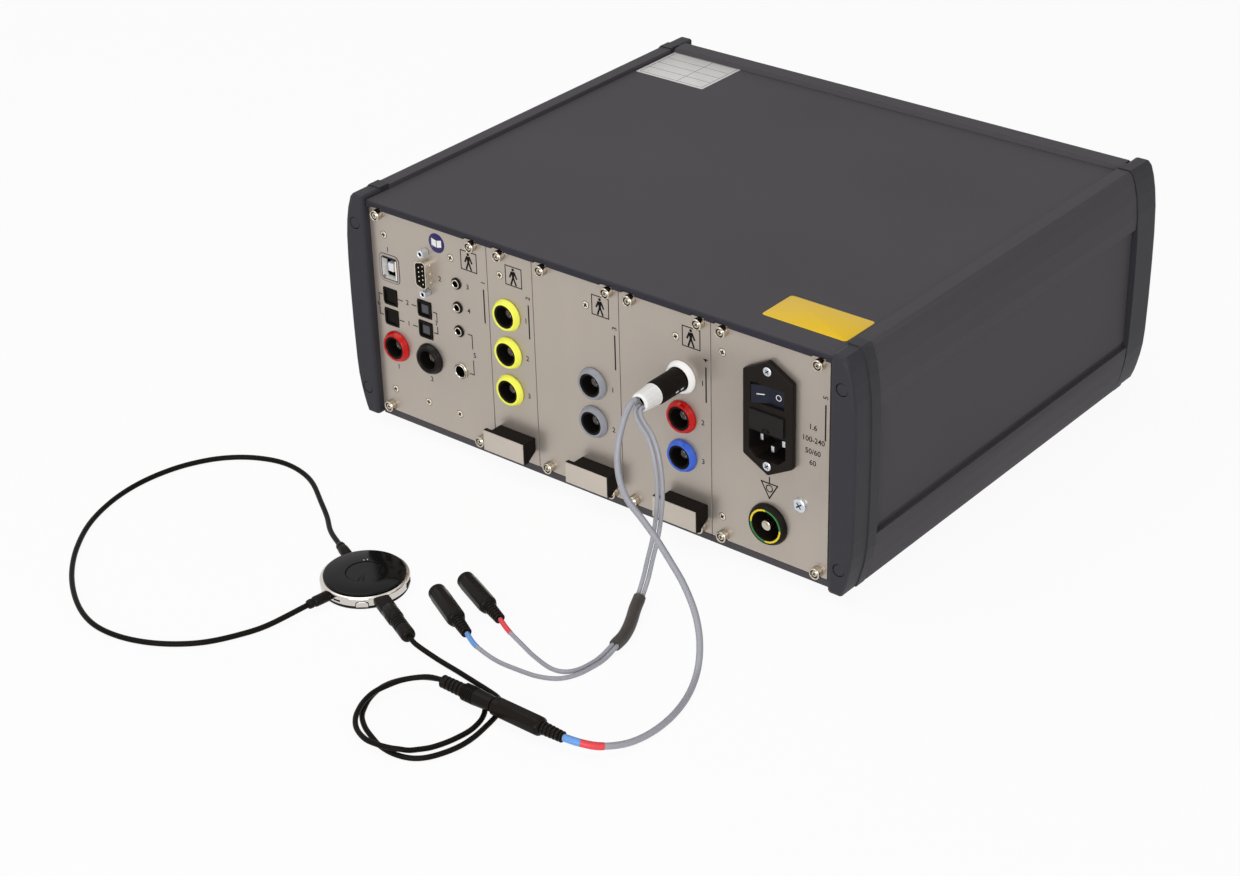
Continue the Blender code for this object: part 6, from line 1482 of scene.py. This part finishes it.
class AUDIOMETER_OT_cords(AudiometerOperator, Operator):
    """Every cord along its own route, with its colour bands, its sleeve and its thick ends"""

    bl_idname = "audiometer.cords"
    bl_label = "Cords"

    def build(self, context):
        self.add_remote_cable()
        self.add_ear_leads()
        self.add_remote_cord()
        self.add_neck_loop()

    def boot_end(self, name):
        point, turn = INLINE[name]
        return Vector(point) - heading(turn) * GAP

    def band(self, name, path, radius, tone):
        """A tight sleeve round a stretch of cord."""
        work = bmesh.new()
        shares = [0.985] + [1.0] * (len(path) - 2) + [0.985]
        sweep(work, path, [radius * share for share in shares])
        sleeve = shader(tone, getattr(finishes(), tone), 0.42, grain=0.012, mottle=0.05)
        return finish_piece(name, work, [sleeve], slot="grey_cord")

    def add_cord(self, node, points, radius, sheath, far_end, stiffness, bands=(), pieces=()):
        """A cord on a smooth curve, and its bands at stretches counted from its end."""
        name = f"{node}_dressed"
        whole = dense([place(point) for point in points])
        total = running_lengths(whole)[-1]
        path = portion(whole, 0, total, 1.6 * radius)
        piece = cord_curve(name, path, radius, sheath)
        with_pieces = list(pieces)
        for tone, near, far in bands:
            stretch = portion(whole, total - far, total - near, 1.5 * radius)
            with_pieces.append(self.band(f"{name}_{tone}", stretch, radius * 1.14, tone))
        mount(piece, slot="grey_cord" if sheath == cable_sheath() else "black_cord", replaces=(node,))

    def add_remote_cable(self):
        points = [CABLE_EXIT, *CABLE_ROUTE, self.boot_end("remote")]
        self.add_cord("remote_cable", points, CABLE_RADIUS, cable_sheath(), "connector", "medium",
                      bands=(("band_blue", 0.0004, 0.0092), ("band_red", 0.0092, 0.0206)),
                      pieces=("inline_socket_remote_dressed",))

    def beside(self, points, offset):
        """Points shifted sideways from a line, level at its ends and across the hang between."""
        across = Vector((-0.6, 0.7, 0))
        result = []
        for i, point in enumerate(points):
            tangent = (points[min(i + 1, len(points) - 1)] - points[max(i - 1, 0)]).normalized()
            from_level = min(point.z - SLEEVE_ROUTE[0][2], TRUNK_EXIT[2] - point.z)
            share = min(1, max(0, from_level / LEAD_SETTLE))
            reference = (-UP).lerp(across, share)
            result.append(point + tangent.cross(reference).normalized() * offset)
        return result

    def add_ear_leads(self):
        trunk = [Vector(point) for point in (TRUNK_EXIT, *TRUNK_ROUTE, *SLEEVE_ROUTE)]
        whole = dense([place(point) for point in (*trunk, trunk[-1] * 2 - trunk[-2])])
        running = running_lengths(whole)
        start = running[CURVE_POINTS * (len(TRUNK_ROUTE) + 1)]
        stop = running[CURVE_POINTS * (len(trunk) - 1)]
        work = bmesh.new()
        path = portion(whole, start, stop, 0.6 * SLEEVE_RADIUS)
        radii = [SLEEVE_RADIUS * (0.95 if i in (0, len(path) - 1) else 1.0) for i in range(len(path))]
        sweep(work, path, radii)
        sleeve = shader("sleeve", srgb(58, 53, 50), 0.55, grain=0.03, mottle=0.12)
        stand_in("lead_sleeve", work, [sleeve], "black_cord")
        for name, side, route in (("red", -1, RED_LEAD_ROUTE), ("blue", 1, BLUE_LEAD_ROUTE)):
            points = self.beside(trunk, side * LEAD_SPACING / 2)
            points += [Vector(point) for point in route] + [self.boot_end(name)]
            pieces = [f"inline_socket_{name}_dressed"]
            if name == "red":
                pieces.append("lead_sleeve_dressed")
            self.add_cord(f"lead_{name}", points, LEAD_RADIUS, cable_sheath(), "connector", "medium",
                          bands=((f"band_{name}", 0.0004, 0.0115),), pieces=pieces)

    def add_remote_cord(self):
        point, turn = INLINE["remote"]
        way_in = heading(turn)
        start = Vector(point) + way_in * (INLINE_LENGTH + JACK_LENGTH + 2 * GAP)
        way_out = heading(REMOTE_PLUG_TURN)
        end = Vector((REMOTE[0] * MM, REMOTE[1] * MM, REMOTE_MIDDLE)) + way_out * (
            REMOTE_RADIUS + REMOTE_PLUG_LENGTH + 2 * GAP)
        straight = 2 * BLACK_RADIUS
        points = [start, start + way_in * straight, *CORD_ROUTE, end + way_out * straight, end]
        self.add_cord("remote_cord", points, BLACK_RADIUS, cord_sheath(), "object", "limp",
                      pieces=("jack_plug_dressed", "remote_plug_dressed"))

    def add_neck_loop(self):
        middle = Vector((REMOTE[0] * MM, REMOTE[1] * MM, REMOTE_MIDDLE))
        root, tip = REMOTE_RADIUS + GAP, REMOTE_RADIUS + GAP + NECK_END
        first, last = (heading(turn) for turn in NECK_TURNS)
        half = (root + tip) / 2
        points = [middle + first * root, middle + first * half, middle + first * tip, *NECK_ROUTE,
                  middle + last * tip, middle + last * half, middle + last * root]
        whole = dense([place(point) for point in points])
        total = running_lengths(whole)[-1]
        ends = []
        shape = ((0, 2.8), (0.03, 3.0), (0.62, 2.95), (0.68, 2.75), (0.71, 2.1), (0.76, 2.1),
                 (0.79, 2.6), (0.92, 2.55), (0.97, 2.3), (1.0, 1.7))
        for name, reach in (("far", (0.0, NECK_END)), ("near", (total, total - NECK_END))):
            work = bmesh.new()
            path, radii = [], []
            closely = portion(whole, min(reach), max(reach), 0.0004)
            if name == "near":
                closely.reverse()
            for share, radius in shape:
                path.append(closely[round(share * (len(closely) - 1))])
                radii.append(radius * MM)
            sweep(work, path, radii)
            ends.append(finish_piece(f"neck_end_{name}", work, [boot_rubber()], slot="black_cord"))
        self.add_cord("neck_loop", points, NECK_RADIUS, cord_sheath(), "object", "medium", pieces=ends)


class AUDIOMETER_OT_inline_sockets(AudiometerOperator, Operator):
    """Three in-line sockets with eight-sided bodies and ribbed boots, and the jack plug in one"""

    bl_idname = "audiometer.inline_sockets"
    bl_label = "In-line sockets"

    def build(self, context):
        for name, (point, turn) in INLINE.items():
            way = heading(turn)
            mouth = place(Vector(point) + way * INLINE_LENGTH)
            work = bmesh.new()
            self.add_body(work, axis_at(mouth, way))
            stand_in(f"inline_socket_{name}", work, [boot_rubber(), deep_black(), nickel()],
                     "black_plastic")
        point, turn = INLINE["remote"]
        way = heading(turn)
        start = place(Vector(point) + way * (INLINE_LENGTH + GAP))
        work = bmesh.new()
        sheet = axis_at(start, -way)
        grip = [(0, 0), (3.3, 0), (3.3, -0.7), (3.9, -0.9), (4.1, -3.0), (4.5, -11.0), (4.6, -11.6)]
        for ridge in range(7):
            top = -11.9 - ridge * 1.02
            grip += [(4.15, top), (4.15, top - 0.4), (4.6, top - 0.5), (4.6, top - 0.95)]
        spin(work, grip + [(3.7, -19.6)] + ribs(-19.9, 14.1, 3.6, 3.4, 5), sheet, ROUND, 0)
        spin(work, [(1.4, 0), (1.4, 13.0), (0, 13.0)], sheet, THIN, 1)
        stand_in("jack_plug", work, [boot_rubber(), nickel()], "black_plastic")

    def add_body(self, work, sheet):
        """Eight flats between two round shoulders, with the ribbed boot behind."""
        def flattened(radius, flat, angle):
            fold = (angle + math.pi / 8) % (math.pi / 4) - math.pi / 8
            squared = radius * math.cos(math.pi / 8) / math.cos(fold)
            return radius + (min(squared, radius * 0.985) - radius) * flat

        profile = ((2.2, -0.3, 0), (2.5, 0, 0), (4.4, 0, 0), (4.85, -0.5, 0), (4.95, -3.2, 0),
                   (4.95, -3.6, 0.3), (5.25, -4.4, 1), (5.25, -27.6, 1), (5.1, -28.8, 0.7),
                   (4.6, -29.8, 0.3), (3.7, -30.4, 0))
        shape_round(work, profile, flattened, sheet, start=0.5)
        spin(work, [(2.2, -0.3), (1.75, -0.6), (1.75, -14.0), (0, -14.0)], sheet, FINE, 1)
        spin(work, [(3.7, -30.4)] + ribs(-30.8, 12.7, 3.4, 2.9, 5), sheet, ROUND, 0)


def ribs(start, span, root, end, count):
    """Profile of a boot: wide flat rings with narrow grooves between, tapering to a cord."""
    points = []
    pitch = span / (count + 0.5)
    for i in range(count):
        share = i / count
        radius = root + (end - root) * share
        top = start - i * pitch
        for inset, fall in ((0.75, 0), (0.15, 0.12), (0, 0.25), (0, 0.55), (0.15, 0.68), (0.75, 0.78)):
            points.append((radius - inset, top - fall * pitch))
    bottom = start - span
    for inset, rise in ((0.3, 0.45), (0, 0.35), (0, 0.1), (0.3, 0), (end, 0)):
        points.append((end - inset, bottom + rise * pitch))
    return points


class AUDIOMETER_OT_hand_remote(AudiometerOperator, Operator):
    """Round hand remote: dark base, bright ring, gloss face, its buttons and its plug"""

    bl_idname = "audiometer.hand_remote"
    bl_label = "Hand remote"

    def build(self, context):
        table = place((REMOTE[0] * MM, REMOTE[1] * MM, TABLE))
        sheet = Matrix.Translation(table) @ Matrix.Scale(MM, 4)
        self.add_base(sheet)
        self.add_ring(sheet)
        self.add_face(sheet)
        self.add_plug()

    def add_base(self, sheet):
        work = bmesh.new()
        base = [(0, 1.5), (23.4, 1.5), (23.6, 1.35), (23.6, 0.9), (23.3, 0.25), (22.9, 0), (0, 0)]
        spin(work, base, sheet, WIDE, 0)
        stand_in("remote_base", work, [black_moulding()], "black_plastic")

    def add_ring(self, sheet):
        work = bmesh.new()
        ring = [(21.0, 7.25), (22.8, 7.25), (23.4, 7.1), (23.8, 6.7), (24.0, 6.1), (24.0, 2.8),
                (23.85, 2.25), (23.5, 1.95), (21.0, 1.95)]
        spin(work, ring, sheet, WIDEST, 0, closed=True)
        for turn, half, low, high in ((-84.5, 2.2, 3.3, 4.6), (27.7, 3.4, 2.7, 5.8)):
            spot = sheet @ Matrix.Rotation(math.radians(turn), 4, "Z")
            block(work, (22.9, -half, low), (24.05, half, high), spot, 1, 0.25)
        plate(work, self.arch(3.55, 3.5, 1.5), 22.9, 24.03, self.rim(sheet), 1)
        stand_in("remote_ring", work, [chrome(), deep_black()], "remote_chrome")
        work = bmesh.new()
        plate(work, self.arch(3.25, 3.2, 1.2), 21.4, 24.4, self.rim(sheet), 0, 0.25)
        stand_in("remote_rim_button", work, [chrome()], "remote_chrome", body="remote_rim_button")

    def rim(self, sheet):
        """The sheet of the rim button: its height runs up from the ring's lower edge."""
        return sheet @ Matrix.Translation((0, 0, 1.9)) @ facing(heading(RIM_BUTTON_TURN))

    def arch(self, half, height, rise):
        """A low block with an arched top, outlined on the ring's lower edge."""
        outline = [(-half, 0), (half, 0)]
        for step in range(13):
            angle = math.pi * step / 12
            outline.append((half * math.cos(angle), height - rise + rise * math.sin(angle)))
        return outline

    def add_face(self, sheet):
        gloss = shader("remote_gloss", srgb(17, 16, 16), 0.10, mottle=0.1, spread=0.03,
                       specular=0.12)
        work = bmesh.new()
        face = [(10.3, 7.6), (10.3, 8.6), (10.4, 8.7), (21.3, 8.7), (21.9, 8.5), (22.2, 8.1),
                (22.2, 7.6)]
        spin(work, face, sheet, WIDEST, 0, closed=True)
        for turn, reach in ((135.5, 11.6), (126.5, 12.2)):
            spot = sheet @ Matrix.Translation(tuple(reach * c for c in heading(turn)))
            spin(work, [(0, 8.73), (0.38, 8.73), (0.4, 8.6)], spot, THIN, 1)
        stand_in("remote_face", work, [gloss, white_ink()], "remote_gloss")
        work = bmesh.new()
        button = [(0, 8.4), (9.2, 8.4), (9.3, 8.33), (9.5, 8.33), (9.6, 8.4), (9.9, 8.4), (10.0, 8.3),
                  (10.0, 6.8), (0, 6.8)]
        spin(work, button, sheet, WIDE, 0)
        stand_in("remote_button", work, [gloss], "remote_gloss", body="remote_button")

    def add_plug(self):
        way = heading(REMOTE_PLUG_TURN)
        middle = place((REMOTE[0] * MM, REMOTE[1] * MM, REMOTE_MIDDLE))
        sheet = axis_at(middle + way * (REMOTE_RADIUS + GAP), way)
        work = bmesh.new()
        plate(work, rectangle(8.6, 5.4, 1.4), 0, 11.0, sheet, 0, 0.4)
        grip = [(3.6, 9.8), (4.2, 10.4), (4.5, 11.2), (4.5, 16.8), (4.25, 17.0), (4.25, 17.6),
                (4.5, 17.8), (4.5, 20.2), (4.2, 20.9)]
        for index in range(5):
            low = 21.4 + index * 2.0
            grip += [(3.3, low), (3.3, low + 0.5), (4.0, low + 0.8), (4.0, low + 1.7)]
        grip += [(4.05, 36.4), (3.8, 37.8), (3.0, 38.7), (2.0, 39.0), (0, 39.0)]
        spin(work, [(0, 9.8)] + grip, sheet, ROUND, 0)
        stand_in("remote_plug", work, [boot_rubber()], "black_cord")


OPERATORS = (
    AUDIOMETER_OT_stage, AUDIOMETER_OT_inline_sockets, AUDIOMETER_OT_hand_remote,
    AUDIOMETER_OT_patient_plug, AUDIOMETER_OT_cords, AUDIOMETER_OT_case, AUDIOMETER_OT_cheeks,
    AUDIOMETER_OT_panels, AUDIOMETER_OT_marks, AUDIOMETER_OT_labels, AUDIOMETER_OT_collar_screws,
    AUDIOMETER_OT_panel_screws, AUDIOMETER_OT_coloured_sockets, AUDIOMETER_OT_data_socket,
    AUDIOMETER_OT_serial_plug, AUDIOMETER_OT_jacks, AUDIOMETER_OT_optical_sockets,
    AUDIOMETER_OT_mains_inlet, AUDIOMETER_OT_earth_terminal, AUDIOMETER_OT_pull_handles,
)


class AUDIOMETER_PT_panel(Panel):
    """Sidebar panel with the sizes, the finishes and a button for each group of pieces"""

    bl_idname = "AUDIOMETER_PT_panel"
    bl_label = "Audiometer"
    bl_space_type = "VIEW_3D"
    bl_region_type = "UI"
    bl_category = "Audiometer"

    def draw(self, context):
        scene = context.scene
        for group in (scene.audiometer_sizes, scene.audiometer_finishes, scene.audiometer_stage):
            column = self.layout.column(align=True)
            for name in group.bl_rna.properties.keys():
                if name not in ("rna_type", "name"):
                    column.prop(group, name)
        for operator in OPERATORS:
            self.layout.operator(operator.bl_idname)


GROUPS = {
    "audiometer_finishes": AUDIOMETER_PG_finishes,
    "audiometer_sizes": AUDIOMETER_PG_sizes,
    "audiometer_stage": AUDIOMETER_PG_stage,
}


def register():
    for item in (*GROUPS.values(), *OPERATORS, AUDIOMETER_PT_panel):
        bpy.utils.register_class(item)
    for name, group in GROUPS.items():
        setattr(bpy.types.Scene, name, PointerProperty(type=group))


def unregister():
    for name in GROUPS:
        delattr(bpy.types.Scene, name)
    for item in reversed((*GROUPS.values(), *OPERATORS, AUDIOMETER_PT_panel)):
        bpy.utils.unregister_class(item)


def main():
    register()
    for operator in OPERATORS:
        name = operator.bl_idname.split(".")[1]
        if getattr(bpy.ops.audiometer, name)() != {"FINISHED"}:
            raise RuntimeError(f"{operator.bl_label} could not be built")


if __name__ == "__main__":
    main()
